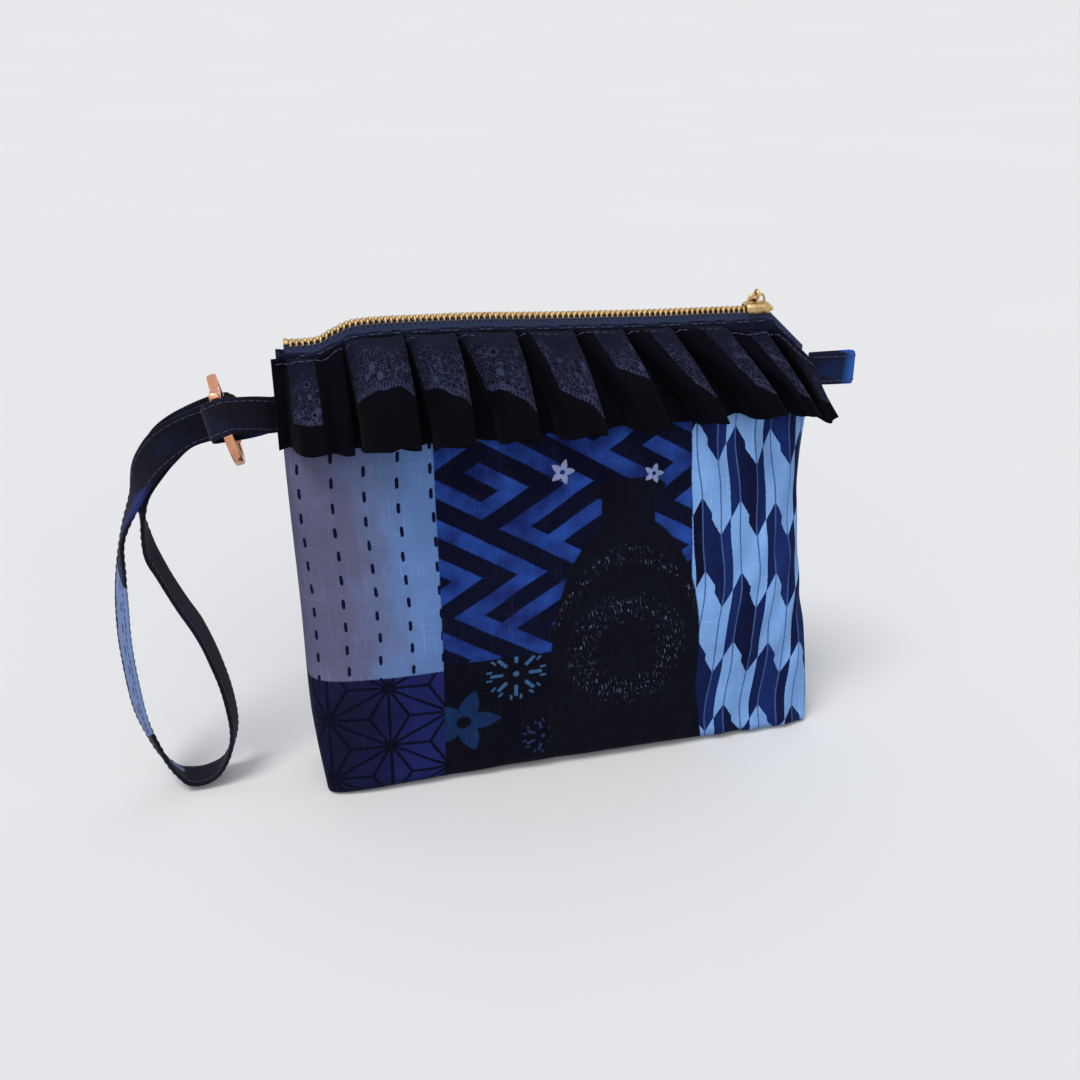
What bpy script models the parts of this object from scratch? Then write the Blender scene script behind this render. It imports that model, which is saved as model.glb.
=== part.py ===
"""Wristlet: a zipped cloth pouch with a ruffle, two side tabs, a gate ring and a wrist strap.

Front faces -Y, the zip runs along X and closes at the +X end, up is +Z.
"""

import math

import bmesh
import bpy
import numpy as np
from mathutils import Matrix, Vector

NAME = "wristlet"

# Cloth and clearances
CLOTH = 0.0012
LINING_CLOTH = 0.0008
GAP = 0.0003
SEAM_GAP = 0.0002
LINING_STANDOFF = 0.0009

# Heights: the chain's foot carries the rest of the top
CHAIN_BASE = 0.1806
BAND_BELOW_CHAIN = 0.0051
BAND_HEIGHT = 0.0225
BAND_TOP = CHAIN_BASE - BAND_BELOW_CHAIN
PANEL_TOP = BAND_TOP - BAND_HEIGHT
LINING_TOP = BAND_TOP - 0.0070

# Pouch body: tables of (height as a share of the chain's, half width or depth)
LEFT_SHARES = ((0.0, 0.1005), (0.1661, 0.1035), (0.4430, 0.1042), (0.7752, 0.1053), (1.1074, 0.1048))
RIGHT_SHARES = ((0.0, 0.1005), (0.1661, 0.1020), (0.3876, 0.0990), (0.6091, 0.0965), (0.8306, 0.0985),
                (1.1074, 0.0975))
DEPTH_SHARES = ((0.0, 0.0178), (0.0664, 0.0188), (0.1661, 0.0204), (0.3322, 0.0218), (0.4983, 0.0208),
                (0.6645, 0.0176), (0.7807, 0.0142), (0.8638, 0.0105), (0.9247, 0.0070), (0.9718, 0.0044),
                (1.1074, 0.0044))
SQUARE_SHARES = ((0.0, 9.0), (0.1107, 6.0), (0.3322, 3.4), (0.6645, 2.8), (0.8306, 3.4), (0.9718, 9.0),
                 (1.1074, 9.0))
LEFT_WIDTH = tuple((share * CHAIN_BASE, wide) for share, wide in LEFT_SHARES)
RIGHT_WIDTH = tuple((share * CHAIN_BASE, wide) for share, wide in RIGHT_SHARES)
DEPTH = tuple((share * CHAIN_BASE, deep) for share, deep in DEPTH_SHARES)
SQUARENESS = tuple((share * CHAIN_BASE, power) for share, power in SQUARE_SHARES)
FOOT_RADIUS_MIDDLE = 0.0085
FOOT_RADIUS_END = 0.0030
END_SLOPE_START = 0.0790
END_SLOPE = 0.95
END_SLOPE_DROP = 0.0180
PUCKER = 0.0009
PUCKER_HEIGHT = 0.637 * CHAIN_BASE
PUCKER_FADE = 0.25 * CHAIN_BASE
MIDDLE_SHARE = 0.80

# Zip
TOOTH_HEIGHT = 0.0020
TOOTH_PITCH = 0.00208
TOOTH_COUNT = 86
TOOTH_FILL = 0.44
TOOTH_REACH = 0.00045
TOOTH_HALF = 0.0020
CHAIN_START = -0.1003
TEETH_IN_RUN = 11
CORD_HEIGHT = 0.0012
TAPE_THICKNESS = 0.0006
TAPE_TUCK = 0.0055
TAPE_BOTTOM = BAND_TOP - TAPE_TUCK
TAPE_SPREAD = 0.0022
TAPE_LEFT = -0.1022
TAPE_RIGHT = 0.0900
TAPE_END_TAPER = 0.60
STOP_LENGTH = 0.0018

# Slider and pull
SLIDER_LENGTH = 0.0095
SLIDER_X = 0.0743
SLIDER_WALL = 0.0008
SLIDER_CLEARANCE = 0.0003
SLIDER_CROWN = 0.0018
ARCH_SPAN = 0.0064
ARCH_BAR = 0.0010
ARCH_RISE = 0.0027
PULL_EYE_INNER = 0.0011
PULL_EYE_OUTER = 0.0021
PULL_LENGTH = 0.0240
PULL_WIDTH = 0.0050
PULL_THICKNESS = 0.0009
PULL_REST = math.radians(-42.0)

# Ruffle
RUFFLE_TOP = BAND_TOP - 0.0008
RUFFLE_LENGTH = 0.0300
RUFFLE_CLOTH = 0.0007
RUFFLE_LEFT = -0.1030
RUFFLE_RIGHT = 0.0965
PLEATS = 9
PLEAT_OVERLAP = 0.0120
PLEAT_FLAT = 0.0020
PLEAT_STANDOFF = 0.0012
PLEAT_ROWS = 6
PLEAT_FLARES = (0.0095, 0.0180, 0.0175, 0.0165, 0.0160, 0.0150, 0.0165, 0.0150, 0.0120)
RUFFLE_SWEEP = ((-0.105, 0.0), (-0.040, 0.08), (0.0, 0.25), (0.030, 0.50), (0.060, 0.62),
                (0.080, 0.52), (0.098, 0.34))

# Side tabs
TAB_HEIGHT = 0.0130
TAB_CLOTH = 0.0012
TAB_ABOVE_SEAM = 0.0025
TAB_MIDDLE = PANEL_TOP + TAB_ABOVE_SEAM
RIGHT_TAB_LENGTH = 0.0200
FOLD_RADIUS = 0.0042
FOLD_SHIFT = 0.0008
TAB_FOLD_RADIUS = 0.0050
TAB_FOLD_SHIFT = 0.0004
TAB_TURN = math.radians(29.0)

# Gate ring
RING_BELOW_TAB = 0.0045
RING_CENTRE = (-0.1237, 0.0045, TAB_MIDDLE - RING_BELOW_TAB)
RING_LEAN = math.radians(-14.0)
RING_RADIUS = 0.0134
RING_RADIAL = 0.0026
RING_AXIAL = 0.0036
EAR_HEIGHT = 0.0052
EAR_ANGLE = math.radians(33.0)
EAR_HALF = math.radians(17.0)
GATE_HINGE = math.radians(318.0)
GATE_PART = -0.0080
GATE_AXIAL = 0.0030
PIN_RADIUS = 0.0005
PIN_CLEARANCE = 0.00015
KNUCKLE_RADIUS = 0.0017
TONGUE = 0.0014

# Wrist strap: its points are measured from the ring's centre
STRAP_WIDTH = 0.0138
STRAP_THICKNESS = 0.0018
STRAP_PRESSED = 0.0012
STRAP_STEPS = 60
STRAP_DOWN = (
    (-0.0416, 0.0080, -0.0412),
    (-0.0440, 0.0070, -0.0548),
    (-0.0456, 0.0065, -0.0690),
    (-0.0465, 0.0060, -0.0841),
    (-0.0461, 0.0055, -0.1006),
    (-0.0450, 0.0050, -0.1150),
    (-0.0428, 0.0045, -0.1248),
    (-0.0386, 0.0040, -0.1370),
    (-0.0341, 0.0040, -0.1445),
    (-0.0298, 0.0040, -0.1477),
    (-0.0232, 0.0040, -0.1480),
)
STRAP_UP = (
    (-0.0165, 0.0040, -0.1443),
    (-0.0121, 0.0040, -0.1359),
    (-0.0103, 0.0045, -0.1256),
    (-0.0117, 0.0055, -0.1101),
    (-0.0151, 0.0060, -0.0949),
    (-0.0190, 0.0065, -0.0826),
    (-0.0244, 0.0070, -0.0709),
    (-0.0298, 0.0080, -0.0579),
    (-0.0334, 0.0090, -0.0467),
)
STRAP_STEM = (
    (-0.0170, 0.0120, -0.0048),
    (-0.0284, 0.0105, -0.0151),
    (-0.0346, 0.0090, -0.0284),
)


def clear_scene():
    """Removes every object of the starting scene."""
    for item in list(bpy.data.objects):
        bpy.data.objects.remove(item, do_unlink=True)


def table(rows, at):
    """Smooth value of a table of (place, value) rows."""
    places = [row[0] for row in rows]
    values = [row[1] for row in rows]
    if at <= places[0]:
        return values[0]
    if at >= places[-1]:
        return values[-1]
    index = 0
    while places[index + 1] < at:
        index += 1
    span = places[index + 1] - places[index]
    share = (at - places[index]) / span

    def slope(k):
        low = max(k - 1, 0)
        high = min(k + 1, len(rows) - 1)
        return (values[high] - values[low]) / (places[high] - places[low])

    cube = share * share * share
    square = share * share
    return (
        (2 * cube - 3 * square + 1) * values[index]
        + (cube - 2 * square + share) * span * slope(index)
        + (3 * square - 2 * cube) * values[index + 1]
        + (cube - square) * span * slope(index + 1)
    )


def material(name, colour, roughness, metallic=0.0):
    """A plain Principled material."""
    made = bpy.data.materials.new(name)
    made.use_nodes = True
    shader = made.node_tree.nodes["Principled BSDF"]
    shader.inputs["Base Color"].default_value = (*colour, 1.0)
    shader.inputs["Roughness"].default_value = roughness
    shader.inputs["Metallic"].default_value = metallic
    made.diffuse_color = (*colour, 1.0)
    return made


def place(bm, name, finish, parts):
    """Turns a bmesh into a named object with outward faces."""
    bmesh.ops.recalc_face_normals(bm, faces=bm.faces)
    mesh = bpy.data.meshes.new(name)
    bm.to_mesh(mesh)
    bm.free()
    mesh.materials.append(finish)
    item = bpy.data.objects.new(name, mesh)
    parts.objects.link(item)
    return item


def skin(bm, rows, cyclic=False):
    """Quads between the rows of a grid of vertices."""
    for low, high in zip(rows[:-1], rows[1:]):
        count = len(low)
        for k in range(count if cyclic else count - 1):
            n = (k + 1) % count
            bm.faces.new((low[k], low[n], high[n], high[k]))


def slab(bm, outer, inner):
    """A closed sheet between two grids of points with the same layout."""
    a = [[bm.verts.new(p) for p in row] for row in outer]
    b = [[bm.verts.new(p) for p in row] for row in inner]
    skin(bm, a)
    skin(bm, b)
    skin(bm, [a[0], b[0]])
    skin(bm, [a[-1], b[-1]])
    skin(bm, [[row[0] for row in a], [row[0] for row in b]])
    skin(bm, [[row[-1] for row in a], [row[-1] for row in b]])


def sweep(bm, rings, closed=False):
    """A closed body through rings of points, capped at both ends unless closed."""
    rows = [[bm.verts.new(p) for p in ring] for ring in rings]
    if closed:
        rows.append(rows[0])
    skin(bm, rows, cyclic=True)
    if not closed:
        bm.faces.new(rows[0])
        bm.faces.new(rows[-1])


def box(bm, low, high):
    """A box between two corners."""
    x0, y0, z0 = low
    x1, y1, z1 = high
    sweep(bm, [[(x, y0, z0), (x, y1, z0), (x, y1, z1), (x, y0, z1)] for x in (x0, x1)])


def tube(bm, start, end, radius, sides):
    """A straight round bar."""
    axis = Vector(end) - Vector(start)
    turn = axis.to_track_quat("Z", "Y").to_matrix()
    rings = []
    for centre in (start, end):
        ring = []
        for k in range(sides):
            angle = 2.0 * math.pi * k / sides
            spoke = Vector((math.cos(angle), math.sin(angle), 0.0)) * radius
            ring.append(Vector(centre) + turn @ spoke)
        rings.append(ring)
    sweep(bm, rings)


def combine(item, bm, operation, name, cutters):
    """Joins or cuts an object with a helper body by an exact Boolean."""
    bmesh.ops.recalc_face_normals(bm, faces=bm.faces)
    mesh = bpy.data.meshes.new(name)
    bm.to_mesh(mesh)
    bm.free()
    helper = bpy.data.objects.new(name, mesh)
    helper.hide_render = True
    helper.display_type = "WIRE"
    cutters.objects.link(helper)
    step = item.modifiers.new(name, "BOOLEAN")
    step.operation = operation
    step.solver = "EXACT"
    step.object = helper
    return helper


def end_drop(x, z):
    """How far the cloth at height z has come down at x, beyond the closed end of the zip."""
    weight = min(max((z - PANEL_TOP) / (BAND_TOP - PANEL_TOP), 0.0), 1.0)
    return weight * min(max(0.0, END_SLOPE * (x - END_SLOPE_START)), END_SLOPE_DROP)


def pucker(x, z):
    """Gentle dimples of filled cloth, strongest below the gathered top."""
    fade = math.exp(-((z - PUCKER_HEIGHT) / PUCKER_FADE) ** 2)
    side = 1.0 / (1.0 + math.exp(-(x - 0.055) / 0.012))
    small = math.sin(x * 210.0 + z * 38.0) * math.cos(x * 74.0 - z * 55.0)
    large = math.sin((x - 0.02) * 330.0 - z * 70.0)
    return PUCKER * (0.6 * fade * small + 1.3 * side * fade * large)


def plan_point(share, z, inset):
    """Point of the front half outline at height z, share running from -1 (left) to 1 (right)."""
    square = table(SQUARENESS, z)
    wide = (table(LEFT_WIDTH, z) if share < 0 else table(RIGHT_WIDTH, z)) - inset
    deep = table(DEPTH, z)
    size = abs(share)
    if size <= MIDDLE_SHARE:
        u = size
        v = (1.0 - u ** square) ** (1.0 / square)
    else:
        start = math.acos(min(MIDDLE_SHARE ** (square / 2.0), 1.0))
        angle = start * (1.0 - (size - MIDDLE_SHARE) / (1.0 - MIDDLE_SHARE))
        u = math.cos(angle) ** (2.0 / square)
        v = math.sin(angle) ** (2.0 / square) if angle > 0.0 else 0.0
    x = math.copysign(wide * u, share)
    deep = deep - inset + pucker(x, z) * v
    radius = FOOT_RADIUS_MIDDLE + (FOOT_RADIUS_END - FOOT_RADIUS_MIDDLE) * size ** 2
    lift = max(0.0, 1.0 - (z - inset) / radius)
    deep -= radius * (1.0 - math.sqrt(max(0.0, 1.0 - lift * lift)))
    return x, -max(deep, 0.0) * v


def shares(middle, ends):
    """Places along the half outline, closer together round the corners."""
    steps = [MIDDLE_SHARE + (1.0 - MIDDLE_SHARE) * k / ends for k in range(ends, 0, -1)]
    inner = [MIDDLE_SHARE * (1.0 - 2.0 * k / middle) for k in range(middle + 1)]
    return [-s for s in steps] + [-s for s in inner] + steps[::-1]


def half_grid(places, heights, inset, seam, base_rows, back):
    """Grid of one half of the bag, from the middle of the base up the wall."""
    side = 1.0 if back else -1.0
    grid = []
    floor = inset
    rim = [plan_point(s, floor, inset) for s in places]
    for k in range(base_rows):
        share = k / base_rows
        row = []
        for s, (x, y) in zip(places, rim):
            middle_x = math.copysign(abs(s) ** 0.8, s) * abs(rim[-1][0] if s > 0 else rim[0][0])
            px = middle_x + (x - middle_x) * share
            py = y * share
            row.append((px, side * max(-py, seam), floor))
        grid.append(row)
    for z in heights:
        row = []
        for s in places:
            x, y = plan_point(s, z, inset)
            row.append((x, side * max(-y, seam), z - end_drop(x, z)))
        grid.append(row)
    return grid


def panel_heights():
    """Levels of the printed panels, closer together round the foot."""
    shares = (0.131, 0.248, 0.379, 0.510, 0.641, 0.765, 0.882, 1.0)
    return [0.0, 0.0015, 0.004, 0.0085] + [share * PANEL_TOP for share in shares]


def build_panel(name, finish, parts, back, middle, ends, heights):
    """Printed panel of the front or the back, base half included."""
    places = shares(middle, ends)
    lifted = [max(z, CLOTH) for z in heights]
    bm = bmesh.new()
    outer = half_grid(places, heights, 0.0, SEAM_GAP / 2, 2, back)
    inner = half_grid(places, lifted, CLOTH, SEAM_GAP / 2, 2, back)
    slab(bm, outer, inner)
    return place(bm, name, finish, parts)


def build_band(name, finish, parts, back, middle, ends):
    """Plain band between the printed panel and the zip tape."""
    places = shares(middle, ends)
    bottom = PANEL_TOP + SEAM_GAP
    heights = [bottom + share * (BAND_TOP - bottom) for share in (0.0, 0.31, 0.64, 0.84, 1.0)]
    bm = bmesh.new()
    outer = half_grid(places, heights, 0.0, SEAM_GAP / 2, 0, back)
    inner = half_grid(places, heights, CLOTH, SEAM_GAP / 2, 0, back)
    slab(bm, outer, inner)
    return place(bm, name, finish, parts)


def build_lining(finish, parts):
    """Open-mouthed inner bag."""
    places = shares(10, 3)
    base = CLOTH + LINING_STANDOFF
    levels_up = (0.178, 0.356, 0.534, 0.712, 0.843, 0.932, 1.0)
    heights = [0.0, 0.004, 0.010] + [share * LINING_TOP for share in levels_up]
    bm = bmesh.new()
    rims = []
    for inset in (base, base + LINING_CLOTH):
        levels = [max(z, inset) for z in heights]
        levels[-1] = heights[-1]
        halves = []
        for back in (False, True):
            grid = half_grid(places, levels, inset, 0.0, 2, back)
            halves.append([[bm.verts.new(p) for p in row] for row in grid])
        for half in halves:
            skin(bm, half)
        rims.append([half[-1] for half in halves])
    for half in range(2):
        skin(bm, [rims[0][half], rims[1][half]])
    bmesh.ops.remove_doubles(bm, verts=bm.verts, dist=0.00002)
    return place(bm, "lining", finish, parts)


def tape_section(x, side):
    """Seven points of one tape at x, from the top outer corner of its cord round to the inner."""
    ends = min((x - TAPE_LEFT) / 0.003, (TAPE_RIGHT - x) / (TAPE_RIGHT - END_SLOPE_START), 1.0)
    taper = TAPE_END_TAPER + (1.0 - TAPE_END_TAPER) * max(ends, 0.0)
    down = end_drop(x, BAND_TOP)
    inner = SEAM_GAP / 2
    wide = TOOTH_HALF * taper
    foot = (TOOTH_HALF + TAPE_SPREAD) * taper
    neck = CHAIN_BASE - CORD_HEIGHT
    points = [
        (wide, CHAIN_BASE),
        (wide, neck),
        (foot, TAPE_BOTTOM),
        (foot - TAPE_THICKNESS, TAPE_BOTTOM),
        (wide - TAPE_THICKNESS, neck - TAPE_THICKNESS / 2),
        (inner, neck),
        (inner, CHAIN_BASE),
    ]
    return [(x, side * y, z - down) for y, z in points]


def build_tape(name, cloth, brass, parts, side, shift):
    """One zip tape with its row of teeth standing on the cord."""
    bm = bmesh.new()
    begin = CHAIN_START + shift
    runs = [TAPE_LEFT, TAPE_LEFT + 0.003]
    teeth = [begin + k * TOOTH_PITCH for k in range(TOOTH_COUNT)]
    cuts = [teeth[k] - 0.5 * (1.0 - TOOTH_FILL) * TOOTH_PITCH for k in range(0, TOOTH_COUNT, TEETH_IN_RUN)]
    cuts.append(teeth[-1] + TOOTH_FILL * TOOTH_PITCH + 0.0002)
    runs[1] = cuts[0]
    stations = [TAPE_LEFT] + cuts + [0.5 * (cuts[-1] + TAPE_RIGHT), TAPE_RIGHT]
    lines = [[bm.verts.new(p) for p in tape_section(x, side)] for x in stations]
    for low, high in zip(lines[:-1], lines[1:]):
        for k in range(1, 5):
            bm.faces.new((low[k], low[k + 1], high[k + 1], high[k]))
    for index in (0, len(cuts), len(cuts) + 1):
        low = lines[index]
        high = lines[index + 1]
        for k in (5, 6, 0):
            n = (k + 1) % 7
            bm.faces.new((low[k], low[n], high[n], high[k]))
    bm.faces.new(lines[0])
    bm.faces.new(lines[-1])
    metal = []
    top = CHAIN_BASE + TOOTH_HEIGHT
    for run in range(len(cuts) - 1):
        low = lines[run + 1]
        high = lines[run + 2]
        outer = [low[0]]
        inner = [low[6]]
        chosen = teeth[run * TEETH_IN_RUN:(run + 1) * TEETH_IN_RUN]
        last = (low[0], low[6])
        for start in chosen:
            stop = start + TOOTH_FILL * TOOTH_PITCH
            corner = []
            for x in (start, stop):
                corner.append(bm.verts.new((x, side * TOOTH_HALF, CHAIN_BASE)))
                corner.append(bm.verts.new((x, side * SEAM_GAP / 2, CHAIN_BASE)))
                corner.append(bm.verts.new((x, side * TOOTH_HALF, top - 0.0003)))
                corner.append(bm.verts.new((x, -side * TOOTH_REACH, top)))
            a, b, c, d, e, f, g, h = corner
            bm.faces.new((last[0], a, b, last[1]))
            metal.append(bm.faces.new((a, c, d, b)))
            metal.append(bm.faces.new((c, g, h, d)))
            metal.append(bm.faces.new((g, e, f, h)))
            metal.append(bm.faces.new((d, h, f, b)))
            outer += [a, c, g, e]
            inner += [b, f]
            last = (e, f)
        bm.faces.new((last[0], high[0], high[6], last[1]))
        outer += [high[0], high[1], low[1]]
        inner += [high[6], high[5], low[5]]
        bm.faces.new(outer)
        bm.faces.new(inner)
    for face in metal:
        face.material_index = 1
    item = place(bm, name, cloth, parts)
    item.data.materials.append(brass)
    return item


def build_stops(brass, parts):
    """Bottom stop across both tapes and a top stop on each."""
    floor = CHAIN_BASE + SEAM_GAP / 2
    roof = CHAIN_BASE + TOOTH_HEIGHT
    bm = bmesh.new()
    left = CHAIN_START - STOP_LENGTH - 0.0001
    box(bm, (left, -TOOTH_HALF, floor), (left + STOP_LENGTH, TOOTH_HALF, roof))
    place(bm, "bottom_stop", brass, parts)
    start = SLIDER_X + SLIDER_LENGTH / 2 + GAP
    for name, side in (("top_stop_front", -1.0), ("top_stop_back", 1.0)):
        bm = bmesh.new()
        near = side * GAP
        far = side * (TOOTH_HALF - GAP)
        rings = []
        for x in (start, start + 0.0014):
            base = floor - end_drop(start, BAND_TOP)
            rings.append([(x, near, base), (x, far, base), (x, far, roof - 0.0004), (x, near, roof - 0.0004)])
        sweep(bm, rings)
        place(bm, name, brass, parts)


def slider_top():
    """Height of the slider's top plate."""
    return CHAIN_BASE + TOOTH_HEIGHT + SLIDER_CLEARANCE + SLIDER_WALL + 0.0003


def pull_axis():
    """Point on the pull's hinge axis."""
    return Vector((SLIDER_X, 0.0, slider_top() + ARCH_RISE))


def build_slider(brass, parts, cutters):
    """Slider body: a channel over both rows of teeth with an arch on top."""
    inner = TOOTH_HALF + SLIDER_CLEARANCE
    outer = inner + SLIDER_WALL
    roof = CHAIN_BASE + TOOTH_HEIGHT + SLIDER_CLEARANCE
    low = CHAIN_BASE - 0.0008
    half = SLIDER_LENGTH / 2
    rings = []
    for x, slim, sink in ((-half, 0.0003, 0.0004), (-half + 0.001, 0.0, 0.0), (0.0, 0.0, 0.0),
                          (half - 0.001, 0.0002, 0.0), (half, 0.0005, 0.0004)):
        wide = outer - slim
        top = slider_top() - sink
        rings.append([
            (SLIDER_X + x, -wide, low), (SLIDER_X + x, -wide, top - 0.0014),
            (SLIDER_X + x, -SLIDER_CROWN, top), (SLIDER_X + x, SLIDER_CROWN, top),
            (SLIDER_X + x, wide, top - 0.0014), (SLIDER_X + x, wide, low),
            (SLIDER_X + x, inner, low), (SLIDER_X + x, inner, roof),
            (SLIDER_X + x, -inner, roof), (SLIDER_X + x, -inner, low),
        ])
    bm = bmesh.new()
    sweep(bm, rings)
    item = place(bm, "slider_body", brass, parts)
    centre = pull_axis()
    foot = slider_top() - 0.0003
    path = [
        (-ARCH_SPAN / 2 - 0.0002, foot), (-ARCH_SPAN / 2, foot + 0.0014), (-ARCH_SPAN / 2 + 0.0009, centre.z),
        (ARCH_SPAN / 2 - 0.0009, centre.z), (ARCH_SPAN / 2, foot + 0.0014), (ARCH_SPAN / 2 + 0.0002, foot),
    ]
    arch = bmesh.new()
    ring_list = []
    for k, (x, z) in enumerate(path):
        before = Vector(path[max(k - 1, 0)])
        after = Vector(path[min(k + 1, len(path) - 1)])
        along = (after - before).normalized()
        if k in (0, len(path) - 1):
            along = Vector((0.0, 1.0 if k == 0 else -1.0))
        side = Vector((-along.y, along.x)) * ARCH_BAR / 2
        ring_list.append([
            (SLIDER_X + x + side.x, -ARCH_BAR / 2, z + side.y), (SLIDER_X + x + side.x, ARCH_BAR / 2, z + side.y),
            (SLIDER_X + x - side.x, ARCH_BAR / 2, z - side.y), (SLIDER_X + x - side.x, -ARCH_BAR / 2, z - side.y),
        ])
    sweep(arch, ring_list)
    combine(item, arch, "UNION", "arch", cutters)
    return item


def build_pull(brass, parts, cutters):
    """Pull: an eye round the arch and a flat tongue lying over the back of the slider."""
    centre = pull_axis()
    reach = Vector((0.0, math.cos(PULL_REST), math.sin(PULL_REST)))
    across = Vector((0.0, -math.sin(PULL_REST), math.cos(PULL_REST)))
    rings = []
    for r, wide, thick in ((0.0016, 0.0010, 0.0017), (0.0040, 0.0036, 0.0011), (0.0058, PULL_WIDTH, PULL_THICKNESS),
                           (PULL_LENGTH - 0.0025, PULL_WIDTH, PULL_THICKNESS),
                           (PULL_LENGTH - 0.0007, PULL_WIDTH * 0.8, PULL_THICKNESS),
                           (PULL_LENGTH, PULL_WIDTH * 0.45, PULL_THICKNESS)):
        ring = []
        for x, t in ((-0.5, -0.5), (0.5, -0.5), (0.5, 0.5), (-0.5, 0.5)):
            ring.append(centre + Vector((x * wide, 0.0, 0.0)) + reach * r + across * (t * thick))
        rings.append(ring)
    bm = bmesh.new()
    sweep(bm, rings)
    item = place(bm, "pull_tab", brass, parts)
    eye = bmesh.new()
    half = Vector((0.0005, 0.0, 0.0))
    tube(eye, centre - half, centre + half, PULL_EYE_OUTER, 16)
    combine(item, eye, "UNION", "pull_eye", cutters)
    hole = bmesh.new()
    tube(hole, centre - 3 * half, centre + 3 * half, PULL_EYE_INNER, 12)
    combine(item, hole, "DIFFERENCE", "pull_hole", cutters)
    return item


def body_depth(x, z):
    """Depth of the front cloth at x and height z."""
    wide = table(LEFT_WIDTH, z) if x < 0 else table(RIGHT_WIDTH, z)
    square = table(SQUARENESS, z)
    u = min(abs(x) / wide, 0.985)
    v = (1.0 - u ** square) ** (1.0 / square)
    return (table(DEPTH, z) + pucker(x, z) * v) * v


def pleat_points(index, open_share, flare):
    """Centre line of one box-like pleat: (place along the seam, height off the pouch)."""
    pitch = (RUFFLE_RIGHT - RUFFLE_LEFT) / PLEATS
    start = RUFFLE_LEFT + index * pitch
    end = start + pitch
    high = PLEAT_FLAT + (flare - PLEAT_FLAT) * open_share ** 1.15
    lap = PLEAT_OVERLAP * (1.0 - 0.15 * open_share)
    base = PLEAT_STANDOFF
    layer = 0.0009
    bend = layer / 2
    points = []
    if index > 0:
        points += [(start - lap - bend, base + bend), (start - lap, base)]
    points += [
        (start, base + 0.03 * high),
        (start + 0.22 * pitch, base + 0.60 * high),
        (start + 0.50 * pitch, base + 0.92 * high),
        (end - bend, base + high),
    ]
    if index < PLEATS - 1:
        back = base + layer + 0.30 * max(high - 2 * layer, 0.0)
        points += [(end, base + high - bend), (end - bend, base + high - layer),
                   (end - 0.55 * lap, back), (end - lap, base + layer)]
    return points


def build_ruffle(finish, parts):
    """Pleated ruffle sewn under the zip: its folds stand out in front and sweep to the right."""
    outer = []
    inner = []
    for j in range(PLEAT_ROWS):
        q = j / (PLEAT_ROWS - 1)
        line = []
        for k in range(PLEATS):
            for s, off in pleat_points(k, q, PLEAT_FLARES[k]):
                line.append((s, off))
        flat = []
        for s, off in line:
            z_top = RUFFLE_TOP - end_drop(s, RUFFLE_TOP)
            lifted = 0.94 * max(off - PLEAT_FLAT, 0.0)
            drop = math.sqrt(max((RUFFLE_LENGTH * q) ** 2 - lifted ** 2, 0.0))
            z = z_top - drop
            x = s + table(RUFFLE_SWEEP, s) * RUFFLE_LENGTH * q
            flat.append(Vector((x, -body_depth(x, z) - off, z)))
        count = len(flat)
        for sign, rows in ((1.0, outer), (-1.0, inner)):
            row = []
            for k in range(count):
                before = flat[max(k - 1, 0)]
                after = flat[min(k + 1, count - 1)]
                along = after - before
                first = (flat[k] - before).normalized() if k else along.normalized()
                second = (after - flat[k]).normalized() if k < count - 1 else along.normalized()
                mean = first + second
                normal = Vector((mean.y, -mean.x, 0.0)).normalized()
                row.append(flat[k] + normal * (sign * RUFFLE_CLOTH / 2))
            rows.append(row)
    bm = bmesh.new()
    slab(bm, outer, inner)
    return place(bm, "ruffle", finish, parts)


def ring_matrix():
    """Placement of the ring: X along its axis, Y towards its back bar, Z up, leaning."""
    return Matrix.Translation(RING_CENTRE) @ Matrix.Rotation(RING_LEAN, 4, "Y")


def ring_section(angle, radius, radial, axial):
    """Six-sided section of the ring at one angle."""
    spoke = Vector((0.0, math.cos(angle), math.sin(angle)))
    inner = radius - radial / 2
    outer = radius + radial / 2
    shape = ((-axial / 2, inner), (-axial / 2, outer - 0.0006), (-axial / 2 + 0.0006, outer),
             (axial / 2 - 0.0006, outer), (axial / 2, outer - 0.0006), (axial / 2, inner))
    return [Vector((x, 0.0, 0.0)) + spoke * r for x, r in shape]


def parted(ring, at):
    """Slides the points of a section along the ring until they lie in the plane y = at."""
    moved = []
    for p in ring:
        r = math.hypot(p.y, p.z)
        moved.append(Vector((p.x, at, -math.sqrt(r * r - at * at))))
    return moved


def ear_rise(angle):
    """Extra radius of the ring's outline: two pointed ears at the top."""
    rise = 0.0
    for centre in (math.pi / 2 - EAR_ANGLE, math.pi / 2 + EAR_ANGLE):
        away = abs(angle - centre) / EAR_HALF
        rise = max(rise, EAR_HEIGHT * max(0.0, 1.0 - away))
    return rise


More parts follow.
